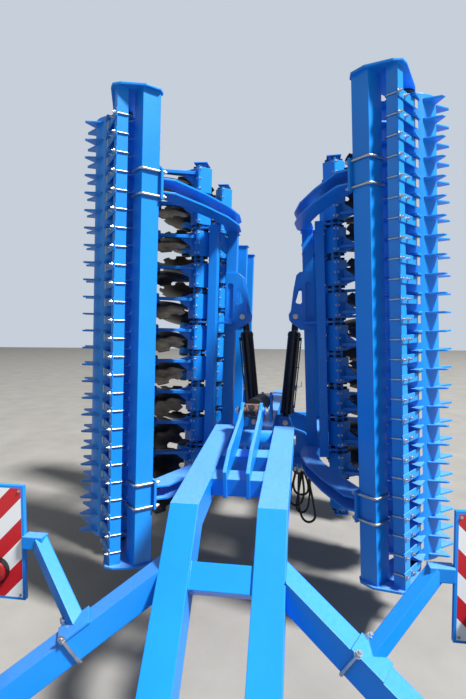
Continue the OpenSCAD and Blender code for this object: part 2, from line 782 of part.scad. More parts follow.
module row_tubes() {
    for (row = ROWS) {
        y = row[0];
        translate([row[1] - row_end, y - row_side / 2, -row_drop - row_side / 2])
            cube([row_span, row_side, row_side]);
        for (end = [row[1] - row_end - cap_t, row[1] - row_end + row_span])
            translate([end, y - 60, -row_drop - 60]) cube([cap_t, 120, 120]);
        top = carrier_z - carrier_h / 2;
        for (k = row[2]) translate([row[1] + (k + 0.5) * pitch - 8, y - 58, -row_drop - 58])
            cube([16, 116, row_drop + 58 + top]);
    }
}

module rubbers() {
    at = row_side / 2 + rubber_d / 2;
    for (row = ROWS) for (k = [0:discs_in_row - 1]) translate([row[1] + k * pitch, row[0], -row_drop])
        for (a = [0:90:270]) rotate([a, 0, 0]) translate([0, 0, at])
            rod_x(rubber_d - 2 * press_gap, -shell_len / 2 - cord_out, shell_len / 2 + cord_out);
}

hub_d = 110;
hub_len = 70;

// One clamp shell with its arm and hub, at its own place on the row tube. Two half shells meet
// at a flange in front and behind, and the arm leaves the shell near one end, with a gusset.
module disc_arm() {
    lean = atan2(hub_trail, hub_drop);
    reach = norm([hub_trail, hub_drop]);
    difference() {
        union() {
            rotate([45, 0, 0]) cube([shell_len, shell_out, shell_out], center = true);
            cube([shell_len, 2 * shell_reach + 44, 2 * shell_t], center = true);
            translate([-arm_shift, 0, 0]) rotate([-lean, 0, 0]) {
                plate_yz([
                    [-46, -50], [50, -50], [44, -140], [26, -reach + 70], [24, -reach],
                    [-24, -reach], [-26, -reach + 70], [-40, -140],
                ], -disc_arm_t / 2, disc_arm_t);
                plate_xz([[-44, -55], [90, -55], [90, -80], [disc_arm_t / 2, -180], [-disc_arm_t / 2, -180], [-44, -80]],
                    -6, 12);
            }
        }
        rotate([45, 0, 0]) cube([shell_len + 2 * over, shell_in, shell_in], center = true);
    }
    translate([-arm_shift, -hub_trail, -hub_drop]) rotate([0, 0, disc_angle])
        rod_x(hub_d, -hub_len / 2, hub_len / 2);
}

module disc_arms(side) {
    for (row = ROWS) for (k = [0:discs_in_row - 1])
        translate([row[1] + k * pitch, row[0], -row_drop]) scale_side(side * row[3]) disc_arm();
}

ball_r = (disc_d * disc_d / 4 + disc_dish * disc_dish) / (2 * disc_dish);

// A hollow disc with a notched edge, its hub side at x = 0.
module disc() {
    difference() {
        intersection() {
            translate([ball_r, 0, 0]) difference() {
                sphere(r = ball_r, $fn = 120);
                sphere(r = ball_r - disc_t, $fn = 120);
            }
            rod_x(disc_d, -over, disc_dish + 30);
        }
        for (i = [0:notches - 1]) rotate([360 * i / notches, 0, 0])
            translate([0, 0, disc_d / 2 + 12]) rotate([0, 90, 0])
                cylinder(d = 100, h = disc_dish + 60, $fn = 10);
    }
    rod_x(hub_d - 10, -14, disc_t);
}

module discs(side) {
    for (row = ROWS) for (k = [0:discs_in_row - 1])
        translate([row[1] + k * pitch, row[0] - hub_trail, -row_drop - hub_drop]) scale_side(side * row[3])
            translate([-arm_shift, 0, 0]) rotate([0, 0, disc_angle]) translate([hub_len / 2 + 14, 0, 0]) disc();
}

// Roller with its frame.

module roller_frame() {
    r = 52;
    translate([frame_in + plate_t, main_y, main_z]) rotate([45, 0, 0])
        translate([0, -main_side / 2, -main_side / 2]) cube([frame_len - 2 * plate_t, main_side, main_side]);
    translate([frame_in + plate_t, bar_y, bar_z]) rotate([-bar_turn, 0, 0])
        translate([0, -bar_side / 2, -bar_side / 2]) cube([frame_len - 2 * plate_t, bar_side, bar_side]);
    for (x = [frame_in, frame_in + frame_len - plate_t]) difference() {
        plate_yz([
            [main_y - 30, main_z + 98], [main_y + 30, main_z + 98], [main_y + 102, main_z + 24],
            [roller_y + 75, -roller_drop + 70], [roller_y + 75, -roller_drop - 50],
            [roller_y + 30, -roller_drop - 80], [roller_y - 60, -roller_drop - 60],
            [bar_y - 10, bar_z - 74], [bar_y - 62, bar_z - 40], [bar_y - 72, bar_z + 20],
            [main_y - 102, main_z + 24],
        ], x, plate_t);
        translate([0, roller_y, -roller_drop]) rod_x(shaft_d + 2 * run_gap, x - over, x + plate_t + over);
    }
}

// Distance along a scraper to the drum's surface, in the turned bar's own axes.
drum_dy = (roller_y - bar_y) * cos(bar_turn) + (roller_drop + bar_z) * sin(bar_turn);
drum_dn = (roller_drop + bar_z) * cos(bar_turn) - (roller_y - bar_y) * sin(bar_turn);
scraper_off = bar_side / 2 + scraper_t / 2 - drum_dn;
scraper_reach = drum_dy - sqrt(pow(drum_d / 2 + scraper_gap, 2) - scraper_off * scraper_off);
strip_len = 34;

module scrapers() {
    for (i = [0:rings - 1]) {
        translate([ring_x(i) - ring_pitch / 3, bar_y, bar_z]) rotate([-bar_turn, 0, 0]) {
            translate([-scraper_w / 2, -bar_side / 2 - 22, -bar_side / 2 - scraper_t])
                cube([scraper_w, bar_side / 2 + 22 + scraper_reach - 8, scraper_t]);
            translate([-scraper_w / 2, scraper_reach - strip_len, -bar_side / 2 - scraper_t - 6])
                cube([scraper_w, strip_len, 6]);
        }
    }
}

// Two bowed side plates and a clamp plate make each arm that holds the roller frame.
module roller_arms() {
    front = fold_beam_y - wing_side / 2;
    seat = (main_side / 2 + clamp_t) / sqrt(2);
    for (x = ARM_X) {
        for (s = [-arm_half, arm_half - arm_t])
            plate_yz([
                [main_y + seat + 42, main_z + seat - 42], [main_y + seat - 42, main_z + seat + 42],
                [main_y + 70, main_z + 190], [main_y + 420, main_z + 330], [rear_y - 260, wing_z + 60],
                [rear_y + 60, wing_z + 110], [front - 30, wing_z + 90], [front + 60, wing_z + 40],
                [front + 60, wing_z - 40], [front - 60, wing_z - 60], [rear_y + 20, wing_z - 30],
                [rear_y - 240, wing_z - 90], [main_y + 480, main_z + 180], [main_y + 160, main_z + 50],
            ], x + s, arm_t);
        translate([x - 105, main_y, main_z]) rotate([45, 0, 0])
            translate([0, main_side / 2, -clamp_h / 2]) cube([210, clamp_t, clamp_h]);
        translate([x, front + 15, wing_z]) rod_x(50, -arm_half, arm_half);
    }
}

module roller() {
    foot = drum_d / 2 - 16;
    translate([0, roller_y, -roller_drop]) {
        rod_x(shaft_d, frame_in - 12, frame_in + frame_len + 12);
        rod_x(drum_d, roller_mid - drum_len / 2, roller_mid + drum_len / 2);
        for (i = [0:rings - 1]) translate([ring_x(i), 0, 0])
            for (a = [0:360 / teeth:359]) rotate([a, 0, 0]) translate([-tooth_t / 2, 0, 0])
                plate_yz([
                    [-tooth_foot * 0.42, foot], [-tooth_foot * 0.42, drum_d / 2 - 4],
                    [-8, tip_r], [8, tip_r - 6],
                    [tooth_foot * 0.58, drum_d / 2 - 8], [tooth_foot * 0.58, foot],
                ], 0, tooth_t);
    }
}

// Fold cylinders.

module fold_place(side) {
    on_machine() translate([side * foot_x, ears_y, foot_z]) rotate([0, side * fold_lean, 0])
        children();
}

module fold_barrel(side) {
    fold_place(side) difference() {
        union() {
            rod_y(90, -eye_w / 2, eye_w / 2);
            cylinder(d = eye_w, h = neck_len + 20);
            translate([0, 0, neck_len]) cylinder(d = barrel_d, h = barrel_len - neck_len);
        }
        rod_y(pin_d + 2 * run_gap, -eye_w, eye_w);
        translate([0, 0, 140]) cylinder(d = rod_d + 2 * run_gap, h = barrel_len);
    }
}

module fold_rod(side) {
    fold_place(side) {
        translate([0, 0, 150]) cylinder(d = rod_d, h = fold_len - 150 - 10);
        translate([0, 0, fold_len]) rod_y(90, -eye_w / 2, eye_w / 2);
    }
}

module wing_frame_left() { color("dodgerblue") on_wing(LEFT) wing_frame(); }
module wing_frame_right() { color("dodgerblue") on_wing(RIGHT) wing_frame(); }
module cylinder_ears_left() { color("dodgerblue") on_wing(LEFT) cylinder_ears(); }
module cylinder_ears_right() { color("dodgerblue") on_wing(RIGHT) cylinder_ears(); }
module row_tubes_left() { color("royalblue") on_wing(LEFT) row_tubes(); }
module row_tubes_right() { color("royalblue") on_wing(RIGHT) row_tubes(); }
module rubbers_left() { color("black") on_wing(LEFT) rubbers(); }
module rubbers_right() { color("black") on_wing(RIGHT) rubbers(); }
module disc_arms_left() { color("dodgerblue") on_wing(LEFT) disc_arms(LEFT); }
module disc_arms_right() { color("dodgerblue") on_wing(RIGHT) disc_arms(RIGHT); }
module discs_left() { color("dimgray") on_wing(LEFT) discs(LEFT); }
module discs_right() { color("dimgray") on_wing(RIGHT) discs(RIGHT); }
module roller_frame_left() { color("dodgerblue") on_wing(LEFT) roller_frame(); }
module roller_frame_right() { color("dodgerblue") on_wing(RIGHT) roller_frame(); }
module scrapers_left() { color("deepskyblue") on_wing(LEFT) scrapers(); }
module scrapers_right() { color("deepskyblue") on_wing(RIGHT) scrapers(); }
module roller_arms_left() { color("dodgerblue") on_wing(LEFT) roller_arms(); }
module roller_arms_right() { color("dodgerblue") on_wing(RIGHT) roller_arms(); }
module roller_left() { color("dodgerblue") on_wing(LEFT) roller(); }
module roller_right() { color("dodgerblue") on_wing(RIGHT) roller(); }
module fold_barrel_left() { color("black") fold_barrel(LEFT); }
module fold_barrel_right() { color("black") fold_barrel(RIGHT); }
module fold_rod_left() { color("silver") fold_rod(LEFT); }
module fold_rod_right() { color("silver") fold_rod(RIGHT); }

axle();
carriage_beams();
carriage_cross();
carriage_lugs();
braces();
lamp_arms();
lamp_boards();
tyre_left();
rim_left();
tyre_right();
rim_right();
spine();
rear_hinge_plates();
front_hinge_plates();
hinge_pins();
pivot_shaft();
drawbar();
jack_sleeve();
jack_leg();
hitch_bar();
hose_carrier();
hose_loops();
lift_barrel();
lift_rod();
wing_frame_left();
cylinder_ears_left();
row_tubes_left();
rubbers_left();
disc_arms_left();
discs_left();
roller_frame_left();
scrapers_left();
roller_arms_left();
roller_left();
fold_barrel_left();
fold_rod_left();
wing_frame_right();
cylinder_ears_right();
row_tubes_right();
rubbers_right();
disc_arms_right();
discs_right();
roller_frame_right();
scrapers_right();
roller_arms_right();
roller_right();
fold_barrel_right();
fold_rod_right();
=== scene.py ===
# A trailed folding disc harrow, parked on its wheels and jack with both wings folded up.
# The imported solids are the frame. This script gives them their finishes and adds the small
# fasteners, hoses, pipes, tread and lamps that the solids leave out. The machine's sizes are
# in mm, and those of its surroundings in metres.
import math

import bmesh
import bpy
from mathutils import Matrix, Vector


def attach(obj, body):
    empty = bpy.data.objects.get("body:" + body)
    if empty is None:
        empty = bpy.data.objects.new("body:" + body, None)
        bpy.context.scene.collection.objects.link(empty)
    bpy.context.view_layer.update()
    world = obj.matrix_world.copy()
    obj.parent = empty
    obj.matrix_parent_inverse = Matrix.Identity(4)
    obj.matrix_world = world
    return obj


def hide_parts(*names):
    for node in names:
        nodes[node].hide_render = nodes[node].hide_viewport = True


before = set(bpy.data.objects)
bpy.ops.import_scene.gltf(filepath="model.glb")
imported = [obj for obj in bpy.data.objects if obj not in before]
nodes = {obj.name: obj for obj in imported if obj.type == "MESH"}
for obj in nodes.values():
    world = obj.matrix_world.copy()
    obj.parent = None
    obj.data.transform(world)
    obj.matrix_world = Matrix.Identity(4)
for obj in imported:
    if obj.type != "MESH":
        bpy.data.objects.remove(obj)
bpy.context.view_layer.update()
scene = bpy.context.scene

# Where it stands: a yard of pale floated concrete, matt and faintly clouded, in high light from
# the machine's right and a little behind it. The camera is held 2.1 m up, one and a half metres
# behind the axle, and looks forward along the machine.
axle_to_middle = 2984


def from_axle(x, y, z):
    """A point drawn with y counted forward from the axle, in the frame's metres."""
    return Vector((x, y - axle_to_middle, z)) / 1000


look_down, look_left = math.radians(2.76), math.radians(8.93)
camera = bpy.data.objects.new("camera", bpy.data.cameras.new("camera"))
scene.collection.objects.link(camera)
camera.location = from_axle(358, -1531, 2107)
camera.rotation_euler = (math.pi / 2 - look_down, 0, look_left)
camera.data.sensor_fit, camera.data.sensor_width, camera.data.lens = "HORIZONTAL", 24, 24
camera.data.clip_start = 0.05
scene.camera = camera


def linear(shade):
    """An sRGB hex colour as the linear colour that a shader reads."""
    parts = [int(shade[i:i + 2], 16) / 255 for i in (1, 3, 5)]
    return [p / 12.92 if p <= 0.04045 else ((p + 0.055) / 1.055) ** 2.4 for p in parts] + [1]


def add(tree, kind, settings=(), **inputs):
    """Adds a node with its settings, and sets or links its inputs, named with _ for spaces."""
    n = tree.nodes.new(kind)
    for name, value in dict(settings).items():
        setattr(n, name, value)
    for name, value in inputs.items():
        key = int(name[1:]) if name[0] == "i" and name[1:].isdigit() else name.replace("_", " ")
        if isinstance(value, bpy.types.NodeSocket):
            tree.links.new(value, n.inputs[key])
        else:
            n.inputs[key].default_value = value
    return n


def finish(name, **sockets):
    """A new material with one Principled shader, its constant values set on its own sockets."""
    made = bpy.data.materials.new(name)
    made.use_nodes = True
    shader = made.node_tree.nodes["Principled BSDF"]
    for key, value in sockets.items():
        shader.inputs[key.replace("_", " ")].default_value = value
    return made, made.node_tree, shader


def mottled(name, patch, detail, shades, between=(0.0, 1.0), rough=None, break_up=0.5, **sockets):
    """A finish that drifts between two shades, and two roughnesses if given, in patches this wide."""
    made, tree, shader = finish(name, **sockets)
    place = add(tree, "ShaderNodeTexCoord").outputs["Object"]
    patches = add(tree, "ShaderNodeTexNoise", Vector=place, Scale=1000 / patch, Detail=detail,
                  Roughness=break_up).outputs["Fac"]
    tone = add(tree, "ShaderNodeValToRGB", Fac=patches)
    for stop, at, shade in zip(tone.color_ramp.elements, between, shades):
        stop.position, stop.color = at, linear(shade)
    tree.links.new(tone.outputs["Color"], shader.inputs["Base Color"])
    if rough:
        gloss = add(tree, "ShaderNodeMapRange", Value=patches, From_Min=between[0], From_Max=between[1],
                    To_Min=rough[0], To_Max=rough[1])
        tree.links.new(gloss.outputs["Result"], shader.inputs["Roughness"])
    return made


yard_half = 40
concrete = mottled("floated_concrete", 625, 9.0, ("#827F7A", "#8F8C86"), between=(0.3, 0.7), break_up=0.62,
                   Roughness=0.85)
floor_mesh = bpy.data.meshes.new("floor")
floor_mesh.from_pydata([(x * yard_half, y * yard_half, 0) for x, y in ((-1, -1), (1, -1), (1, 1), (-1, 1))],
                       [], [(0, 1, 2, 3)])
floor_mesh.materials.append(concrete)
floor = bpy.data.objects.new("floor", floor_mesh)
scene.collection.objects.link(floor)

sky_light, sky_seen = 0.37, 0.79
world = bpy.data.worlds.new("yard_sky")
scene.world = world
world.use_nodes = True
sky = world.node_tree.nodes["Background"]
sky.inputs["Color"].default_value = linear("#DCE6F2")
ray = add(world.node_tree, "ShaderNodeLightPath")
bright = add(world.node_tree, "ShaderNodeMath", {"operation": "MULTIPLY_ADD"},
             i0=ray.outputs["Is Camera Ray"], i1=sky_seen - sky_light, i2=sky_light)
world.node_tree.links.new(bright.outputs["Value"], sky.inputs["Strength"])
scene.view_settings.view_transform = "Standard"

lit_point = Vector((0, -0.5, 1.6))
for name, place, size, power in (("key", (37.8, -16.3, 57.2), 8.4, 122000),
                                 ("fill", (-9.0, -6.0, 6.0), 6.0, 90)):
    lamp = bpy.data.lights.new(name, "AREA")
    lamp.size, lamp.energy = size, power
    light = bpy.data.objects.new(name, lamp)
    light.location = place
    light.rotation_euler = (lit_point - Vector(place)).to_track_quat("-Z", "Y").to_euler()
    scene.collection.objects.link(light)

# Chassis and drawbar: structural steel tube and plate, welded, shot-blasted and sprayed in
# semi-gloss blue enamel. The spray leaves a faint ripple, drawn coarser than it is so that it
# shows, and edges are softly rounded. What faces up is painted paler in fine specks, a painted
# highlight for the light from above.
blue_enamel, tree, shader = finish("blue_enamel", IOR=1.45)
place = add(tree, "ShaderNodeTexCoord").outputs["Object"]
drift = add(tree, "ShaderNodeTexNoise", Vector=place, Scale=1000 / 455, Detail=4.0)
tone = add(tree, "ShaderNodeValToRGB", Fac=drift.outputs["Fac"])
for stop, at, shade in zip(tone.color_ramp.elements, (0.3, 0.7), ("#0E7FDC", "#1488E4")):
    stop.position, stop.color = at, linear(shade)
specks = add(tree, "ShaderNodeTexNoise", Vector=place, Scale=1000 / 16.67, Detail=6.0, Roughness=0.7)
facing = add(tree, "ShaderNodeNewGeometry")
up = add(tree, "ShaderNodeSeparateXYZ", Vector=facing.outputs["Normal"])
# Painted highlight: faces turned up are mixed towards a pale grey in specks, for the light from above.
lying = add(tree, "ShaderNodeMapRange", Value=up.outputs["Z"], From_Min=0.75, From_Max=1.0, To_Max=0.3)
painted_top_light = add(tree, "ShaderNodeMath", {"operation": "MULTIPLY"}, i0=lying.outputs["Result"],
            i1=specks.outputs["Fac"])
coat = add(tree, "ShaderNodeMix", {"data_type": "RGBA"}, i0=painted_top_light.outputs["Value"], i6=tone.outputs["Color"],
           i7=linear("#CDD2D4"))
tree.links.new(coat.outputs[2], shader.inputs["Base Color"])
sheen = add(tree, "ShaderNodeMapRange", Value=specks.outputs["Fac"], From_Min=0.3, From_Max=0.7, To_Min=0.33,
            To_Max=0.43)
tree.links.new(sheen.outputs["Result"], shader.inputs["Roughness"])
soft_edge = add(tree, "ShaderNodeBevel", {"samples": 6}, Radius=0.007)
ripple = add(tree, "ShaderNodeTexNoise", Vector=place, Scale=1000 / 11.11, Detail=2.0)
sprayed = add(tree, "ShaderNodeBump", Strength=0.06, Distance=0.0006, Height=ripple.outputs["Fac"],
              Normal=soft_edge.outputs["Normal"])
tree.links.new(sprayed.outputs["Normal"], shader.inputs["Normal"])


def dress(material, *names):
    """Gives CAD nodes their finish."""
    for name in names:
        mesh = nodes[name].data
        mesh.materials.clear()
        mesh.materials.append(material)


dress(blue_enamel, "spine", "rear_hinge_plates", "front_hinge_plates", "drawbar", "hose_carrier")

# Hinge pins: turned steel bars in the plates beside the spine and in the fold cylinders' feet,
# with bright zinc plating, slightly cloudy. A washer and an M16 bolt lock each end. The tree
# makes any bolt head or nut: a prism with a washer under it and a stub of thread above it.
zinc = mottled("zinc_plate", 22.22, 4.0, ("#A9A8A2", "#D6D6D2"), rough=(0.34, 0.5), Metallic=1.0)
dress(zinc, "hinge_pins")


def geometry_tree(name, **sizes):
    """An empty Geometry Nodes tree whose named inputs are its sizes and its finish."""
    made = bpy.data.node_groups.new(name, "GeometryNodeTree")
    made.interface.new_socket("Geometry", in_out="INPUT", socket_type="NodeSocketGeometry")
    for label, size in sizes.items():
        kind = "NodeSocketInt" if isinstance(size, int) else "NodeSocketFloat"
        socket = made.interface.new_socket(label.replace("_", " "), in_out="INPUT", socket_type=kind)
        socket.default_value = size
    made.interface.new_socket("Finish", in_out="INPUT", socket_type="NodeSocketMaterial")
    made.interface.new_socket("Geometry", in_out="OUTPUT", socket_type="NodeSocketGeometry")
    return made, add(made, "NodeGroupInput"), add(made, "NodeGroupOutput")


def close_tree(tree, given, made, shaped):
    """Ends a tree in real geometry with its finish on it."""
    real = add(tree, "GeometryNodeRealizeInstances", Geometry=shaped)
    done = add(tree, "GeometryNodeSetMaterial", Geometry=real.outputs["Geometry"],
               Material=given.outputs["Finish"])
    tree.links.new(done.outputs["Geometry"], made.inputs["Geometry"])


def shape_up(name, body, slot, material, tree, mesh, **sizes):
    """Runs a tree on a mesh and keeps the result as a plain mesh that rides on a body."""
    piece = bpy.data.objects.new(name, mesh)
    scene.collection.objects.link(piece)
    shaper = piece.modifiers.new(tree.name, "NODES")
    shaper.node_group = tree
    wanted = dict(sizes, Finish=material)
    for item in tree.interface.items_tree:
        if item.in_out == "INPUT" and item.name.replace(" ", "_") in wanted:
            shaper[item.identifier] = wanted[item.name.replace(" ", "_")]
    shaped = bpy.data.meshes.new_from_object(piece.evaluated_get(bpy.context.evaluated_depsgraph_get()))
    piece.modifiers.clear()
    piece.data = shaped
    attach(piece, body)
    return piece


bolt_heads, given, made = geometry_tree(
    "bolt_heads", Across_flats=0.024, Head_height=0.012, Washer_diameter=0.034, Washer_height=0.003,
    Thread_diameter=0.014, Thread_length=0.001, Sides=6)


def standing_prism(tree, sides, across, height, under):
    """A flat prism standing on a height; across is its width over the corners."""
    radius = add(tree, "ShaderNodeMath", {"operation": "MULTIPLY"}, i0=across, i1=0.5)
    prism = add(tree, "GeometryNodeMeshCylinder", Vertices=sides, Radius=radius.outputs["Value"],
                Depth=height)
    middle = add(tree, "ShaderNodeMath", {"operation": "MULTIPLY_ADD"}, i0=height, i1=0.5, i2=under)
    lift = add(tree, "ShaderNodeCombineXYZ", Z=middle.outputs["Value"])
    return add(tree, "GeometryNodeTransform", Geometry=prism.outputs["Mesh"],
               Translation=lift.outputs["Vector"])


def on_turned_points(tree, given, part):
    """Puts a part on every given point, turned by the point's own turn."""
    turn = add(tree, "GeometryNodeInputNamedAttribute", {"data_type": "FLOAT_VECTOR"}, Name="turn")
    way = add(tree, "FunctionNodeEulerToRotation", Euler=turn.outputs["Attribute"])
    return add(tree, "GeometryNodeInstanceOnPoints", Points=given.outputs["Geometry"], Instance=part,
               Rotation=way.outputs["Rotation"]).outputs["Instances"]


corners_over_flats, washer_sides, thread_sides = 1.155, 14, 10
washer = standing_prism(bolt_heads, washer_sides, given.outputs["Washer diameter"],
                        given.outputs["Washer height"], 0.0)
corners = add(bolt_heads, "ShaderNodeMath", {"operation": "MULTIPLY"}, i0=given.outputs["Across flats"],
              i1=corners_over_flats)
head = standing_prism(bolt_heads, given.outputs["Sides"], corners.outputs["Value"],
                      given.outputs["Head height"], given.outputs["Washer height"])
top = add(bolt_heads, "ShaderNodeMath", i0=given.outputs["Washer height"], i1=given.outputs["Head height"])
thread = standing_prism(bolt_heads, thread_sides, given.outputs["Thread diameter"],
                        given.outputs["Thread length"], top.outputs["Value"])
whole = add(bolt_heads, "GeometryNodeJoinGeometry")
for part in (washer, head, thread):
    bolt_heads.links.new(part.outputs["Geometry"], whole.inputs["Geometry"])
close_tree(bolt_heads, given, made, on_turned_points(bolt_heads, given, whole.outputs["Geometry"]))


def turned_points(name, places, turns):
    """A mesh of loose points, each with the Euler turn of what will stand on it."""
    mesh = bpy.data.meshes.new(name)
    mesh.from_pydata(places, [], [])
    turned_by = mesh.attributes.new("turn", "FLOAT_VECTOR", "POINT")
    turned_by.data.foreach_set("vector", [angle for turn in turns for angle in turn])
    return mesh


def bolts(name, body, places, flats, head, washer, thread, sides=6, material=zinc, slot="pin_steel"):
    """Bolts or nuts at (point, direction) places; washer and thread are a diameter and a height."""
    points = turned_points(name, [p for p, _ in places],
                           [way.to_track_quat("Z", "Y").to_euler() for _, way in places])
    return shape_up(name, body, slot, material, bolt_heads, points, Across_flats=flats / 1000,
                    Head_height=head / 1000, Washer_diameter=washer[0] / 1000, Washer_height=washer[1] / 1000,
                    Thread_diameter=thread[0] / 1000, Thread_length=thread[1] / 1000, Sides=sides)


SIDES = (("left", -1), ("right", 1))
hinge_x, hinge_z, rear_hinge_y, front_hinge_y = 600, 970, 3175, 4050
foot_x, foot_z, pin_half = 156, 1150, 62
pin_places = ((hinge_x, rear_hinge_y, hinge_z), (hinge_x, front_hinge_y, hinge_z),
              (foot_x, rear_hinge_y, foot_z))
bolts("hinge_pin_bolts", "chassis",
      [(from_axle(side * x, y + end * pin_half, z), Vector((0, end, 0)))
       for _, side in SIDES for x, y, z in pin_places for end in (-1, 1)],
      flats=24, head=10, washer=(44, 4), thread=(14, 1))

# Carriage: two cranked beams of square tube, welded up with the rungs between them, the axle and
# the braces out to it, in the same blue enamel. It swings on a zinc-plated shaft through the
# spine. A painted weld bead runs round each rung where it meets a beam.
dress(blue_enamel, "axle", "carriage_beams", "carriage_cross", "carriage_lugs", "braces")
dress(zinc, "pivot_shaft")
bent_rods, given, made = geometry_tree("bent_rods", Rod_diameter=0.012, Bend_radius=0.02, Sides=8)
path = add(bent_rods, "GeometryNodeMeshToCurve", Mesh=given.outputs["Geometry"])
bends = add(bent_rods, "GeometryNodeFilletCurve", {"mode": "POLY"}, Curve=path.outputs["Curve"], Count=4,
            Radius=given.outputs["Bend radius"], Limit_Radius=True)
half = add(bent_rods, "ShaderNodeMath", {"operation": "MULTIPLY"}, i0=given.outputs["Rod diameter"], i1=0.5)
ring = add(bent_rods, "GeometryNodeCurvePrimitiveCircle", Resolution=given.outputs["Sides"],
           Radius=half.outputs["Value"])
rod = add(bent_rods, "GeometryNodeCurveToMesh", Curve=bends.outputs["Curve"],
          Profile_Curve=ring.outputs["Curve"], Fill_Caps=True)
close_tree(bent_rods, given, made, rod.outputs["Mesh"])


def rods(name, body, lines, diameter, bend=0, sides=8, material=zinc, slot="pin_steel"):
    """Round rods or pipes along open lines of points, with their corners bent to one radius."""
    points, edges = [], []
    for line in lines:
        edges += [(len(points) + i, len(points) + i + 1) for i in range(len(line) - 1)]
        points += list(line)
    mesh = bpy.data.meshes.new(name)
    mesh.from_pydata(points, edges, [])
    return shape_up(name, body, slot, material, bent_rods, mesh, Rod_diameter=diameter / 1000,
                    Bend_radius=bend / 1000, Sides=sides)


axle_z, crank_y, crank_z, pivot_y, pivot_z, beam_face = 437, 627, 1201, 1765, 1349, 138.5
low_tilt = math.atan2(crank_z - axle_z, crank_y)
top_tilt = math.atan2(pivot_z - crank_z, pivot_y - crank_y)
# Each rung has its place along the machine, its width, and its reach under and over the beam's line.
rungs = ((450, 115, 58, 58), (940, 116, 30, 65), (1245, 116, 30, 65))
beads = []
for _, side in SIDES:
    for rung_y, width, under, over in rungs:
        low = rung_y < crank_y
        tilt = low_tilt if low else top_tilt
        rung_z = axle_z + rung_y * math.tan(tilt) if low else crank_z + (rung_y - crank_y) * math.tan(tilt)
        beads.append([from_axle(side * beam_face, rung_y + a * math.cos(tilt) - b * math.sin(tilt),
                                rung_z + a * math.sin(tilt) + b * math.cos(tilt))
                      for a, b in ((-width / 2, -under), (-width / 2, over), (width / 2, over),
                                   (width / 2, -under), (-width / 2, -under))])
rods("weld_beads", "carriage", beads, 9, bend=4, sides=6, material=blue_enamel, slot="blue_paint")

# Wheels: pressed steel rims in silver paint, softly gleaming, and dull, dusty implement tyres
# with four rows of moulded blocks. A turned carcass and its tread replace the plain solid of
# each tyre and reach the same diameter and width.
silver_paint = mottled("silver_paint", 83.33, 5.0, ("#9FA2A5", "#C9CCCE"), rough=(0.32, 0.5), Metallic=0.6)
tyre_rubber = mottled("tyre_rubber", 142.9, 7.0, ("#151515", "#33302C"), Roughness=0.75)


def both(*pieces):
    """The names of pieces that the left and the right side each have."""
    return [f"{piece}_{side}" for side, _ in SIDES for piece in pieces]


dress(silver_paint, *both("rim"))
dress(tyre_rubber, *both("tyre"))


def turned(name, body, material, profile, places, steps=28, closed=True):
    """A (radius, height) profile turned about each (point, direction) place; a closed one is a ring."""
    corners, faces, n = [], [], len(profile)
    for point, way in places:
        spin = way.to_track_quat("Z", "Y").to_matrix()
        first = len(corners)
        for i in range(steps):
            a = 2 * math.pi * i / steps
            corners += [point + spin @ Vector((r * math.cos(a), r * math.sin(a), h)) / 1000
                        for r, h in profile]
        for i in range(steps):
            a, b = first + i * n, first + (i + 1) % steps * n
            faces += [(a + j, b + j, b + (j + 1) % n, a + (j + 1) % n) for j in range(n if closed else n - 1)]
    mesh = bpy.data.meshes.new(name)
    mesh.from_pydata(corners, [], faces)
    joined = bmesh.new()
    joined.from_mesh(mesh)
    bmesh.ops.remove_doubles(joined, verts=joined.verts, dist=1e-6)
    joined.to_mesh(mesh)
    joined.free()
    mesh.materials.append(material)
    piece = bpy.data.objects.new(name, mesh)
    scene.collection.objects.link(piece)
    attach(piece, body)
    return piece


crown, tyre_half, bead_r, tread_depth = axle_z, 200, 197, 30
carcass = [(bead_r, 35 - tyre_half), (bead_r + 40, 12 - tyre_half), (bead_r + 75, 3 - tyre_half),
           (bead_r + 110, -tyre_half), (crown - 85, 3 - tyre_half), (crown - 52, 12 - tyre_half),
           (crown - 28, 32 - tyre_half), (crown - 16, 70 - tyre_half), (crown - 13, 120 - tyre_half)]
carcass += [(r, -h) for r, h in reversed(carcass)]

# One pitch of the tread has a block in each row: its two sides, and its skew in radians a metre.
blocks_round, block_angle, top_share, tread_edge, shoulder_drop = 34, 0.062, 0.86, 158, 12
block_rows = ((-158, -88, 1.2), (-74, -8, 0.36), (8, 74, -0.36), (88, 158, -1.2))
tread_corners, tread_faces = [], []
for row, (low, high, skew) in enumerate(block_rows):
    first = len(tread_corners)
    stagger = math.pi / blocks_round if row % 2 else 0
    for h in (low, high):
        top_r = crown - shoulder_drop * (abs(h) / tread_edge) ** 4
        for angle in (-block_angle, block_angle):
            for r, share in ((crown - tread_depth, 1), (top_r, top_share)):
                a = stagger + angle * share + skew * (h - (low + high) / 2) / 1000
                tread_corners.append(Vector((h, r * math.cos(a), r * math.sin(a))) / 1000)
    tread_faces += [[first + i for i in face] for face in (
        (0, 1, 3, 2), (4, 6, 7, 5), (0, 4, 5, 1), (2, 3, 7, 6), (1, 5, 7, 3))]

tread, given, made = geometry_tree("tyre_tread", Pitches=blocks_round, Hub_x=0.0, Hub_y=0.0, Hub_z=0.0)
every = add(tread, "GeometryNodePoints", Count=given.outputs["Pitches"])
count = add(tread, "GeometryNodeInputIndex")
step = add(tread, "ShaderNodeMath", {"operation": "DIVIDE"}, i0=2 * math.pi, i1=given.outputs["Pitches"])
angle = add(tread, "ShaderNodeMath", {"operation": "MULTIPLY"}, i0=count.outputs["Index"],
            i1=step.outputs["Value"])
about = add(tread, "ShaderNodeCombineXYZ", X=angle.outputs["Value"])
round_axle = add(tread, "FunctionNodeEulerToRotation", Euler=about.outputs["Vector"])
copies = add(tread, "GeometryNodeInstanceOnPoints", Points=every.outputs[0],
             Instance=given.outputs["Geometry"], Rotation=round_axle.outputs["Rotation"])
hub_at = add(tread, "ShaderNodeCombineXYZ", X=given.outputs["Hub x"], Y=given.outputs["Hub y"],
             Z=given.outputs["Hub z"])
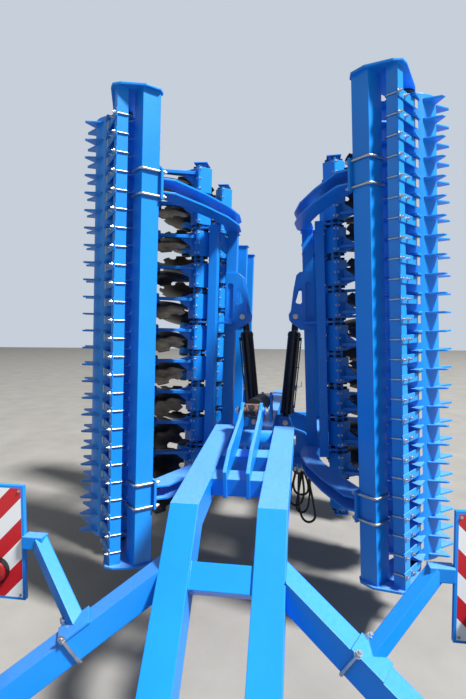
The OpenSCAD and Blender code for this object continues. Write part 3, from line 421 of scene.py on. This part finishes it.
on_wheel = add(tread, "GeometryNodeTransform", Geometry=copies.outputs["Instances"],
               Translation=hub_at.outputs["Vector"])
close_tree(tread, given, made, on_wheel.outputs["Geometry"])

wheel_x, nut_face, nut_circle, nuts_round, cap_face = 1300, 54.5, 102, 8, 78
for name, side in SIDES:
    wheel, hub, way = f"wheel_{name}", from_axle(side * wheel_x, 0, crown), Vector((side, 0, 0))
    tyre = turned(f"tyre_carcass_{name}", wheel, tyre_rubber, carcass, [(hub, way)], steps=72)
    tyre.data.polygons.foreach_set("use_smooth", [True] * len(tyre.data.polygons))
    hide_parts(f"tyre_{name}")
    pitch_mesh = bpy.data.meshes.new(f"tyre_blocks_{name}")
    pitch_mesh.from_pydata(tread_corners, [], tread_faces)
    blocks = bmesh.new()
    blocks.from_mesh(pitch_mesh)
    bmesh.ops.recalc_face_normals(blocks, faces=blocks.faces)
    blocks.to_mesh(pitch_mesh)
    blocks.free()
    shape_up(f"tyre_blocks_{name}", wheel, "tyre", tyre_rubber, tread, pitch_mesh,
             Pitches=blocks_round, Hub_x=hub.x, Hub_y=hub.y, Hub_z=hub.z)
    nuts = []
    for a in [2 * math.pi * i / nuts_round for i in range(nuts_round)]:
        y, z = nut_circle * math.cos(a), crown + nut_circle * math.sin(a)
        nuts.append((from_axle(side * (wheel_x + nut_face), y, z), way))
    bolts(f"wheel_nuts_{name}", wheel, nuts, flats=27, head=20, washer=(34, 4), thread=(18, 8))
    turned(f"hub_cap_{name}", wheel, zinc,
           [(56, -1), (56, 0), (48, 0), (48, 12), (44, 22), (30, 29), (0, 30)],
           [(from_axle(side * (wheel_x + cap_face), 0, crown), way)], steps=32, closed=False)

# Lift cylinder: its barrel is in satin black enamel, flaked off to rust and grey primer at the
# rear end, and its rod is ground and hard-chromed, close to a mirror. The rear eye turns on a
# pin in the carriage's lugs, which a zinc-plated cap and an M16 bolt close at each end.
black_shade, flaked_to_y, sound_from_y, flaked_share = "#101112", 1624, 1684, 0.53
worn_enamel, tree, shader = finish("black_enamel_worn_to_primer", Roughness=0.5)
place = add(tree, "ShaderNodeTexCoord").outputs["Object"]
along = add(tree, "ShaderNodeSeparateXYZ", Vector=place)
rear_end = add(tree, "ShaderNodeMapRange", Value=along.outputs["Y"], From_Min=from_axle(0, flaked_to_y, 0).y,
               From_Max=from_axle(0, sound_from_y, 0).y, To_Min=flaked_share, To_Max=0.0)
flakes = add(tree, "ShaderNodeTexNoise", Vector=place, Scale=1000 / 71.43, Detail=8.0, Roughness=0.6)
bare = add(tree, "ShaderNodeMath", {"operation": "LESS_THAN"}, i0=flakes.outputs["Fac"],
           i1=rear_end.outputs["Result"])
patchy = add(tree, "ShaderNodeTexNoise", Vector=place, Scale=1000 / 25, Detail=4.0)
rust = add(tree, "ShaderNodeValToRGB", Fac=patchy.outputs["Fac"])
for stop, at, shade in zip(rust.color_ramp.elements, (0.4, 0.62), ("#6E4032", "#6E6964")):
    stop.position, stop.color = at, linear(shade)
coat = add(tree, "ShaderNodeMix", {"data_type": "RGBA"}, i0=bare.outputs["Value"], i6=linear(black_shade),
           i7=rust.outputs["Color"])
tree.links.new(coat.outputs[2], shader.inputs["Base Color"])
hard_chrome = mottled("hard_chrome", 55.56, 4.0, ("#D5D7DA", "#D5D7DA"), rough=(0.08, 0.2), Metallic=1.0)
dress(worn_enamel, "lift_barrel")
dress(hard_chrome, "lift_rod")

lug_y, lug_z, lug_half, cap_t = 1570, 1545, 90, 9
lug_ends = [(from_axle(end * lug_half, lug_y, lug_z), Vector((end, 0, 0))) for end in (-1, 1)]
turned("lug_pin_caps", "carriage", zinc, [(0, 0), (26, 0), (26, 6), (23, cap_t), (0, cap_t)],
       lug_ends, steps=24, closed=False)
bolts("lug_pin_bolts", "carriage", [(p + w * cap_t / 1000, w) for p, w in lug_ends],
      flats=24, head=10, washer=(32, 2), thread=(14, 1))

# Warning boards: steel plates on cranked blue arms, with smooth white film, red stripes that fall
# outwards and a blue rim. A 16 mm zinc-plated U-bolt clamps each arm's foot to the brace. Low on
# each sits a finely fluted, glossy red plastic lamp in a can in black enamel, partly dulled.
dress(blue_enamel, "lamp_arms")
board_x, board_y, board_z, film_half_w, film_half_h, stripe_pitch = 1115, 479, 1066.8, 128, 268, 198
board_film, tree, shader = finish("striped_board_film", Roughness=0.32)
place = add(tree, "ShaderNodeTexCoord").outputs["Object"]
axes = add(tree, "ShaderNodeSeparateXYZ", Vector=place)
out = add(tree, "ShaderNodeMath", {"operation": "ABSOLUTE"}, i0=axes.outputs["X"])
slant = add(tree, "ShaderNodeMath", {"operation": "ADD"}, i0=out.outputs["Value"], i1=axes.outputs["Z"])
pitches = add(tree, "ShaderNodeMath", {"operation": "MULTIPLY"}, i0=slant.outputs["Value"],
              i1=1000 / stripe_pitch)
part_pitch = add(tree, "ShaderNodeMath", {"operation": "FRACT"}, i0=pitches.outputs["Value"])
red = add(tree, "ShaderNodeMath", {"operation": "GREATER_THAN"}, i0=part_pitch.outputs["Value"], i1=0.5)
striped = add(tree, "ShaderNodeMix", {"data_type": "RGBA"}, i0=red.outputs["Value"], i6=linear("#E9EBEC"),
              i7=linear("#C4202B"))
past = []
for axis, middle, film_half in ((out.outputs["Value"], board_x, film_half_w),
                                (axes.outputs["Z"], board_z, film_half_h)):
    off = add(tree, "ShaderNodeMath", {"operation": "SUBTRACT"}, i0=axis, i1=middle / 1000)
    distance = add(tree, "ShaderNodeMath", {"operation": "ABSOLUTE"}, i0=off.outputs["Value"])
    past.append(add(tree, "ShaderNodeMath", {"operation": "GREATER_THAN"}, i0=distance.outputs["Value"],
                    i1=film_half / 1000))
rim = add(tree, "ShaderNodeMath", {"operation": "MAXIMUM"}, i0=past[0].outputs["Value"],
          i1=past[1].outputs["Value"])
framed = add(tree, "ShaderNodeMix", {"data_type": "RGBA"}, i0=rim.outputs["Value"], i6=striped.outputs[2],
             i7=linear("#1184DF"))
tree.links.new(framed.outputs[2], shader.inputs["Base Color"])
dress(board_film, "lamp_boards")

black_enamel = mottled("black_enamel", 28.57, 6.0, (black_shade, black_shade), rough=(0.2, 0.42))
red_lens, tree, shader = finish("red_lamp_lens", Base_Color=linear("#8E0F14"), Roughness=0.14,
                                Coat_Weight=0.6)
# A wave's phase grows by 20 radians for each unit of scaled length.
flute_pitch = 5.236
place = add(tree, "ShaderNodeTexCoord").outputs["Object"]
flutes = add(tree, "ShaderNodeTexWave", {"bands_direction": "X"}, Vector=place,
             Scale=2 * math.pi / 20 * 1000 / flute_pitch)
pressed = add(tree, "ShaderNodeBump", Strength=0.4, Distance=0.001, Height=flutes.outputs["Fac"])
tree.links.new(pressed.outputs["Normal"], shader.inputs["Normal"])

brace_y = 450
brace_from = Vector((280, brace_y, axle_z + brace_y * (crank_z - axle_z) / crank_y))
brace_to = Vector((1040, 80, 467))
brace_run = brace_to - brace_from
brace_turn = (Matrix.Rotation(math.atan2(brace_run.y, brace_run.x), 3, "Z")
              @ Matrix.Rotation(math.atan2(-brace_run.z, math.hypot(brace_run.x, brace_run.y)), 3, "Y"))
clamp_share, clamp_shift, clamp_leg, clamp_end, clamp_seat = 0.41, -46, 64, 92, 65


def on_brace(side, along, across, up):
    """A point by the lamp arm's clamp, along, across and above the brace."""
    at = brace_from + clamp_share * brace_run + brace_turn @ Vector((along, across, up))
    return from_axle(side * at.x, at.y, at.z)


lamp_z, screw_x, screw_z = 930, 118, 255
back = Vector((0, -1, 0))
for name, side in SIDES:
    shift = side * clamp_shift
    rods(f"lamp_u_bolt_{name}", "carriage",
         [[on_brace(side, shift, across, up) for across, up in (
             (-clamp_leg, clamp_end), (-clamp_leg, -clamp_leg),
             (clamp_leg, -clamp_leg), (clamp_leg, clamp_end))]],
         16, bend=18, sides=12)
    brace_up = brace_turn @ Vector((0, 0, 1))
    up_way = Vector((side * brace_up.x, brace_up.y, brace_up.z))
    bolts(f"lamp_u_nuts_{name}", "carriage",
          [(on_brace(side, shift, across, clamp_seat), up_way) for across in (-clamp_leg, clamp_leg)],
          flats=24, head=13, washer=(30, 3), thread=(15.5, 10))
    lamp_at = [(from_axle(side * board_x, board_y, lamp_z), back)]
    turned(f"rear_lamp_body_{name}", "carriage", black_enamel,
           [(0, 0), (62, 0), (62, 26), (0, 26)], lamp_at, steps=32, closed=False)
    turned(f"rear_lamp_lens_{name}", "carriage", red_lens,
           [(58, 26), (56, 36), (40, 41), (0, 43)], lamp_at, steps=32, closed=False)
    bolts(f"board_screws_{name}", "carriage",
          [(from_axle(side * (board_x + x), board_y, board_z + z), back)
           for x in (-screw_x, screw_x) for z in (-screw_z, screw_z)],
          flats=10, head=4, washer=(14, 1), thread=(4, 0.5))

# Wings: welded frames in blue enamel, folded up about the hinge pins. The roller's frame hangs
# on two arms of paired bowed plates, and two 18 mm zinc-plated U-bolts clamp each arm's end
# plate to the square main tube, which is set on its edge.
dress(blue_enamel, *both("wing_frame", "cylinder_ears", "row_tubes", "disc_arms"))
dress(blue_enamel, *both("roller_frame", "roller_arms"))
fold = math.radians(91.8)


def wing_way(side, x, y, z):
    """A direction of the working wing, as the folded wing has it."""
    return Vector((side * (x * math.cos(fold) - z * math.sin(fold)), y,
                   x * math.sin(fold) + z * math.cos(fold)))


def wing_place(side, x, y, z):
    """A point drawn on the working wing, from its hinge, where the folded wing has it."""
    return from_axle(side * hinge_x, 0, hinge_z) + wing_way(side, x, y, z) / 1000


main_y, main_z, main_half, on_edge = 1600, -205, 65, math.sqrt(0.5)
arm_plate_t, arm_half, wing_len, wing_cap_t = 18, 52.5, 2050, 10
arm_x = (-arm_half, wing_len + wing_cap_t + arm_half)
bolt_step, leg, leg_end = 84, main_half + 10, main_half + arm_plate_t + 30


def on_tube(side, x, out, across):
    """A point by the main tube, out from its face to the arm and across it."""
    return wing_place(side, x, main_y + (out - across) * on_edge, main_z + (out + across) * on_edge)


for name, side in SIDES:
    bolt_x = [x + step for x in arm_x for step in (-bolt_step, bolt_step)]
    rods(f"main_tube_u_bolts_{name}", f"wing_{name}",
         [[on_tube(side, x, out, across) for out, across in (
             (leg_end, leg), (-leg, leg), (-leg, -leg), (leg_end, -leg))] for x in bolt_x],
         18, bend=22, sides=12)
    bolts(f"main_tube_nuts_{name}", f"wing_{name}",
          [(on_tube(side, x, main_half + arm_plate_t, across), wing_way(side, 0, on_edge, on_edge))
           for x in bolt_x for across in (leg, -leg)],
          flats=27, head=14, washer=(34, 3), thread=(17.5, 10))

# Disc gangs: two half shells clamp each arm on its square tube through four extruded rubber
# cords, brownish black and matt, with M12 bolts. The notched discs are hardened boron steel,
# shipped in a blotchy dark lacquer, and each is held on its capped hub by five bolts.
extruded_rubber = mottled("extruded_rubber", 40, 5.0, ("#15110F", "#2A2421"), Roughness=0.72)
disc_steel = mottled("lacquered_disc_steel", 111.1, 8.0, ("#1A1816", "#423D36"), between=(0.32, 0.68),
                     rough=(0.3, 0.5), break_up=0.65, Metallic=0.45)
dress(extruded_rubber, *both("rubbers"))
dress(disc_steel, *both("discs"))
row_drop, disc_pitch, discs_in_row, first_shell_x = 60, 280, 11, -357
# Each row has its place along the machine, its first shell's x, and its sense along x.
rows = ((2640, first_shell_x, 1), (3760, first_shell_x + disc_pitch // 2, -1))
hub_trail, hub_drop, hub_half, arm_shift, disc_turn = 140, 382, 35, 60, math.radians(17)


def at_shell(side, row, k, x, y, z):
    """A point by a clamp shell's own middle; the second row is turned round along x."""
    row_y, first_x, sense = row
    return wing_place(side, first_x + k * disc_pitch + side * sense * x, row_y + y, z - row_drop)


def at_hub(side, row, k, along, around, up):
    """A point by a disc's hub, along its turned axle."""
    x = -arm_shift + along * math.cos(disc_turn) - around * math.sin(disc_turn)
    y = -hub_trail + along * math.sin(disc_turn) + around * math.cos(disc_turn)
    return at_shell(side, row, k, x, y, up - hub_drop)


shell_bolt_x, shell_bolt_y, shell_face = (-85, 0, 85), (-101, 101), 7
disc_circle, disc_face, bolt_angles = 33, hub_half + 20, [2 * math.pi * i / 5 for i in range(5)]
for name, side in SIDES:
    heads, plate_bolts, hub_ends = [], [], []
    for row, k in [(row, k) for row in rows for k in range(discs_in_row)]:
        heads += [(at_shell(side, row, k, x, y, up * shell_face), wing_way(side, 0, 0, up))
                  for x in shell_bolt_x for y in shell_bolt_y for up in (-1, 1)]
        axle_way = wing_way(side, side * row[2] * math.cos(disc_turn), math.sin(disc_turn), 0)
        for a in bolt_angles:
            around, up = disc_circle * math.cos(a), disc_circle * math.sin(a)
            plate_bolts.append((at_hub(side, row, k, disc_face, around, up), axle_way))
        hub_ends.append((at_hub(side, row, k, -hub_half, 0, 0), -axle_way))
    bolts(f"shell_bolts_{name}", f"wing_{name}", heads, flats=19, head=8.5, washer=(24, 2.5), thread=(12, 4))
    bolts(f"disc_bolts_{name}", f"wing_{name}", plate_bolts, flats=17, head=8, washer=(21, 2), thread=(10, 1))
    bolts(f"hub_caps_{name}", f"wing_{name}", hub_ends, flats=62, head=7, washer=(86, 4), thread=(20, 2),
          sides=18, material=black_enamel, slot="black_paint")

# Rollers: a toothed steel drum in blue enamel on each wing. It runs in flanged bearings in
# black enamel, and four M12 bolts hold each bearing inside the frame's end plate.
dress(blue_enamel, *both("roller"))
frame_in, frame_len, plate_t, roller_y, roller_z, bearing_circle = -560, 3300, 15, 1890, -495, 56
for name, side in SIDES:
    plates = [(frame_in + plate_t, 1), (frame_in + frame_len - plate_t, -1)]
    turned(f"roller_bearings_{name}", f"wing_{name}", black_enamel,
           [(31, 0), (68, 0), (68, 12), (52, 18), (50, 40), (31, 42)],
           [(wing_place(side, x, roller_y, roller_z), wing_way(side, inward, 0, 0)) for x, inward in plates])
    bolts(f"bearing_bolts_{name}", f"wing_{name}",
          [(wing_place(side, x - inward * plate_t, roller_y + bearing_circle * math.cos(a),
                       roller_z + bearing_circle * math.sin(a)), wing_way(side, -inward, 0, 0))
           for x, inward in plates for a in [math.pi / 4 + quarter * math.pi / 2 for quarter in range(4)]],
          flats=19, head=7.5, washer=(24, 2), thread=(12, 1))

# Scrapers: flat steel blades in blue enamel, each held to the turned square bar by a bent 10 mm
# zinc-plated rod with two nuts. A welded strip of pale, slightly rough hard facing wraps the
# blade's end, half a millimetre proud of it and just clear of the drum.
dress(blue_enamel, *both("scrapers"))
hard_facing = mottled("hard_facing", 6.25, 3.0, ("#B9B8AE", "#B9B8AE"), rough=(0.35, 0.6), Metallic=0.55)
bar_y, bar_z, bar_half, bar_turn = 1530, -365, 38, math.radians(35)
rings, ring_pitch, roller_mid = 25, 125, 1090
scraper_x = [roller_mid + (i - (rings - 1) / 2) * ring_pitch - ring_pitch / 3 for i in range(rings)]
rod_leg, rod_end, nut_seat = bar_half + 5.5, -bar_half - 34, -bar_half - 8
strip_w, strip_len, strip_t, strip_along, strip_up = 56, 43.1, 7.1, 199.25, -bar_half - 11.05


def bar_way(side, along, up):
    """A direction of the turned scraper bar, along its blades and up from them."""
    return wing_way(side, 0, along * math.cos(bar_turn) + up * math.sin(bar_turn),
                    up * math.cos(bar_turn) - along * math.sin(bar_turn))


def on_bar(side, x, along, up):
    """A point of the turned scraper bar, from its middle line."""
    return wing_place(side, x, bar_y, bar_z) + bar_way(side, along, up) / 1000


strips, given, made = geometry_tree("hard_strips", Width=0.056, Length=0.043, Thickness=0.007)
size = add(strips, "ShaderNodeCombineXYZ", X=given.outputs["Width"], Y=given.outputs["Length"],
           Z=given.outputs["Thickness"])
strip = add(strips, "GeometryNodeMeshCube", Size=size.outputs["Vector"])
close_tree(strips, given, made, on_turned_points(strips, given, strip.outputs["Mesh"]))

for name, side in SIDES:
    rods(f"scraper_rods_{name}", f"wing_{name}",
         [[on_bar(side, x, along, up) for along, up in (
             (-rod_leg, rod_end), (-rod_leg, rod_leg), (rod_leg, rod_leg), (rod_leg, rod_end))]
          for x in scraper_x], 10, bend=13)
    bolts(f"scraper_nuts_{name}", f"wing_{name}",
          [(on_bar(side, x, along, nut_seat), bar_way(side, 0, -1))
           for x in scraper_x for along in (-rod_leg, rod_leg)],
          flats=20, head=11, washer=(26, 2.5), thread=(11.5, 7))
    blade_way, over_way = bar_way(side, 1, 0), bar_way(side, 0, 1)
    strip_turn = Matrix((blade_way.cross(over_way), blade_way, over_way)).transposed().to_euler()
    ends = turned_points(f"hard_strips_{name}", [on_bar(side, x, strip_along, strip_up) for x in scraper_x],
                         [strip_turn] * rings)
    shape_up(f"hard_strips_{name}", f"wing_{name}", "blue_paint", hard_facing, strips, ends,
             Width=strip_w / 1000, Length=strip_len / 1000, Thickness=strip_t / 1000)

# Fold cylinders: barrels in the same black enamel, and hard-chromed rods sleeved in black at the
# eye. Each barrel has a turned gland, two rings and two ports, whose steel pipes run along it
# to zinc-plated unions. Caps and bolts close the pin that holds the eye in the wing's ears.
dress(black_enamel, *both("fold_barrel"))
dress(hard_chrome, *both("fold_rod"))
cylinder_lean, barrel_r, pipe_out = math.radians(5.4113), 62, 74
# Heights on the barrel, from its foot pin.
low_ring, high_ring, gland_at, rod_end_at, clip_heights = 92, 868, 900, 922, (560, 760)
# Each pipe has its place across the barrel, its port's height, its other end's and its union's.
pipe_runs = ((-16, 845, 385, 350), (16, 160, 330, 326))
clip_from, clip_over, clip_half = 52, pipe_out + 8, 26
ear_x, ear_z, ear_ends, ear_cap_t = 1246, 305, ((2960, -1), (3253, 1)), 8


def barrel_way(side, out, up):
    """A direction of the leaning barrel, outwards and up it."""
    return Vector((side * (out * math.cos(cylinder_lean) + up * math.sin(cylinder_lean)), 0,
                   up * math.cos(cylinder_lean) - out * math.sin(cylinder_lean)))


def on_barrel(side, out, along, up):
    """A point by the barrel, from its foot pin."""
    return from_axle(side * foot_x, rear_hinge_y + along, foot_z) + barrel_way(side, out, up) / 1000


for name, side in SIDES:
    barrel, upwards, outwards = f"fold_barrel_{name}", barrel_way(side, 0, 1), barrel_way(side, 1, 0)
    turned(f"gland_{name}", barrel, black_enamel,
           [(30.6, 0), (58.5, 0), (58.5, 10), (54, 14), (38, 14), (38, 20), (30.6, 20)],
           [(on_barrel(side, 0, 0, gland_at), upwards)], steps=36)
    turned(f"barrel_rings_{name}", barrel, black_enamel,
           [(barrel_r, -4), (barrel_r + 3.5, 0), (barrel_r + 3.5, 26), (barrel_r, 30)],
           [(on_barrel(side, 0, 0, up), upwards) for up in (high_ring, low_ring)], steps=36)
    turned(f"ports_{name}", barrel, black_enamel,
           [(4, -4), (17, -4), (17, 16), (13, 18), (4, 18)],
           [(on_barrel(side, barrel_r, along, port), outwards) for along, port, _, _ in pipe_runs], steps=16)
    rods(f"barrel_pipes_{name}", barrel,
         [[on_barrel(side, pipe_out, along, port), on_barrel(side, pipe_out, along, end)]
          for along, port, end, _ in pipe_runs], 12, sides=10, material=black_enamel, slot="black_paint")
    turned(f"pipe_unions_{name}", barrel, zinc,
           [(6.2, 0), (12.5, 0), (12.5, 22), (10, 24), (10, 38), (6.2, 38)],
           [(on_barrel(side, pipe_out, along, union), upwards) for along, _, _, union in pipe_runs], steps=6)
    rods(f"pipe_clips_{name}", barrel,
         [[on_barrel(side, out, along, up) for out, along in (
             (clip_from, -clip_half), (clip_over, -clip_half),
             (clip_over, clip_half), (clip_from, clip_half))]
          for up in clip_heights], 5, bend=6, sides=6, material=black_enamel, slot="black_paint")
    turned(f"rod_end_{name}", f"fold_rod_{name}", black_enamel,
           [(30.3, 0), (34, 4), (34, 70), (30.3, 74)],
           [(on_barrel(side, 0, 0, rod_end_at), upwards)], steps=32)
    pin_ends = [(wing_place(side, ear_x, y, ear_z), Vector((0, end, 0))) for y, end in ear_ends]
    turned(f"head_pin_caps_{name}", f"wing_{name}", zinc,
           [(0, 0), (27, 0), (27, 5), (24.5, ear_cap_t), (0, ear_cap_t)], pin_ends, steps=24, closed=False)
    bolts(f"head_pin_bolts_{name}", f"wing_{name}", [(p + w * ear_cap_t / 1000, w) for p, w in pin_ends],
          flats=19, head=8, washer=(26, 2), thread=(10, 1))

# Hydraulic hoses: black synthetic rubber over steel braid, 22 mm outside, whose cloth wrap leaves
# a fine print. Four loops hang from zinc-plated stubs under the shelf beside the spine and take
# up the travel when the wings unfold.
shelf_back, shelf_z = 190, 800
carrier = from_axle(0, rear_hinge_y - shelf_back, shelf_z)


def hanging(start, end, along, down, swing, drift):
    """The points of one loop between two stubs, from the shelf's underside."""
    return [(start, along, -40), (start, along, -65), (start - 4, along, -0.32 * down),
            (start - swing + drift / 2, along, -0.68 * down),
            (start - swing * 0.6 + drift, along, -0.92 * down), ((start + end) / 2 + drift, along, -down),
            (end + swing * 0.6 + drift, along, -0.92 * down), (end + swing + drift / 2, along, -0.68 * down),
            (end + 4, along, -0.32 * down), (end, along, -65), (end, along, -40)]


hose_routes = [hanging(300, 395, -75, 560, 22, 45), hanging(262, 330, -35, 420, 30, -25),
               hanging(320, 400, 5, 500, 16, -30), hanging(270, 345, 45, 340, 34, 15)]
union_gap, downwards = Vector((0, 0, -0.5)), Vector((0, 0, -1))
stubs = [carrier + (Vector(route[at]) + union_gap) / 1000 for route in hose_routes for at in (0, -1)]
turned("hose_unions", "chassis", zinc,
       [(11.3, 0), (16.5, 0), (16.5, 16), (13.5, 18), (13.5, 36), (11.3, 36)],
       [(stub, downwards) for stub in stubs], steps=6)


def smooth_route(points, steps):
    """A smooth line through the points, with this many steps to each stretch."""
    p = [Vector(q) for q in points]
    line = []
    for i in range(len(p) - 1):
        a, b, c, d = p[max(i - 1, 0)], p[i], p[i + 1], p[min(i + 2, len(p) - 1)]
        for k in range(steps):
            t = k / steps
            line.append(0.5 * (2 * b + (c - a) * t + (2 * a - 5 * b + 4 * c - d) * t * t
                               + (3 * b - a - 3 * c + d) * t ** 3))
    return line + [p[-1]]


hose_rubber, tree, shader = finish("hose_rubber", Base_Color=linear("#141415"), Roughness=0.5)
place = add(tree, "ShaderNodeTexCoord").outputs["Object"]
wrap = add(tree, "ShaderNodeTexNoise", Vector=place, Scale=1000 / 2.38, Detail=2.0)
print_mark = add(tree, "ShaderNodeBump", Strength=0.35, Distance=0.0006, Height=wrap.outputs["Fac"])
tree.links.new(print_mark.outputs["Normal"], shader.inputs["Normal"])

hose_d = 22
for number, route in enumerate(hose_routes):
    line = [carrier + q / 1000 for q in smooth_route(route, steps=6)]
    curve = bpy.data.curves.new(f"hose_loop_{number}", "CURVE")
    curve.dimensions = "3D"
    curve.bevel_depth, curve.bevel_resolution, curve.use_fill_caps = hose_d / 2000, 3, True
    spline = curve.splines.new("POLY")
    spline.points.add(len(line) - 1)
    for point, q in zip(spline.points, line):
        point.co = (*q, 1)
    curve.materials.append(hose_rubber)
    hose = bpy.data.objects.new(f"hose_loop_{number}", curve)
    scene.collection.objects.link(hose)
    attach(hose, "chassis")
    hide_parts("hose_loops")

# Hitch and jack: the hitch bar and the jack's sleeve are blue, and the jack's leg is zinc-plated
# tube. A cranked handle of 16 mm zinc-plated rod on top of the sleeve winds the leg down.
dress(blue_enamel, "hitch_bar", "jack_sleeve")
dress(zinc, "jack_leg")
jack_x, jack_y, jack_top, crank_rise, crank_arm, grip_len = 145, 5350, 1180, 50, 150, 80
rods("jack_crank", "chassis",
     [[from_axle(jack_x + out, jack_y, jack_top + up) for out, up in (
         (0, 0), (0, crank_rise), (crank_arm, crank_rise), (crank_arm, crank_rise + grip_len))]],
     16, bend=20, sides=12)
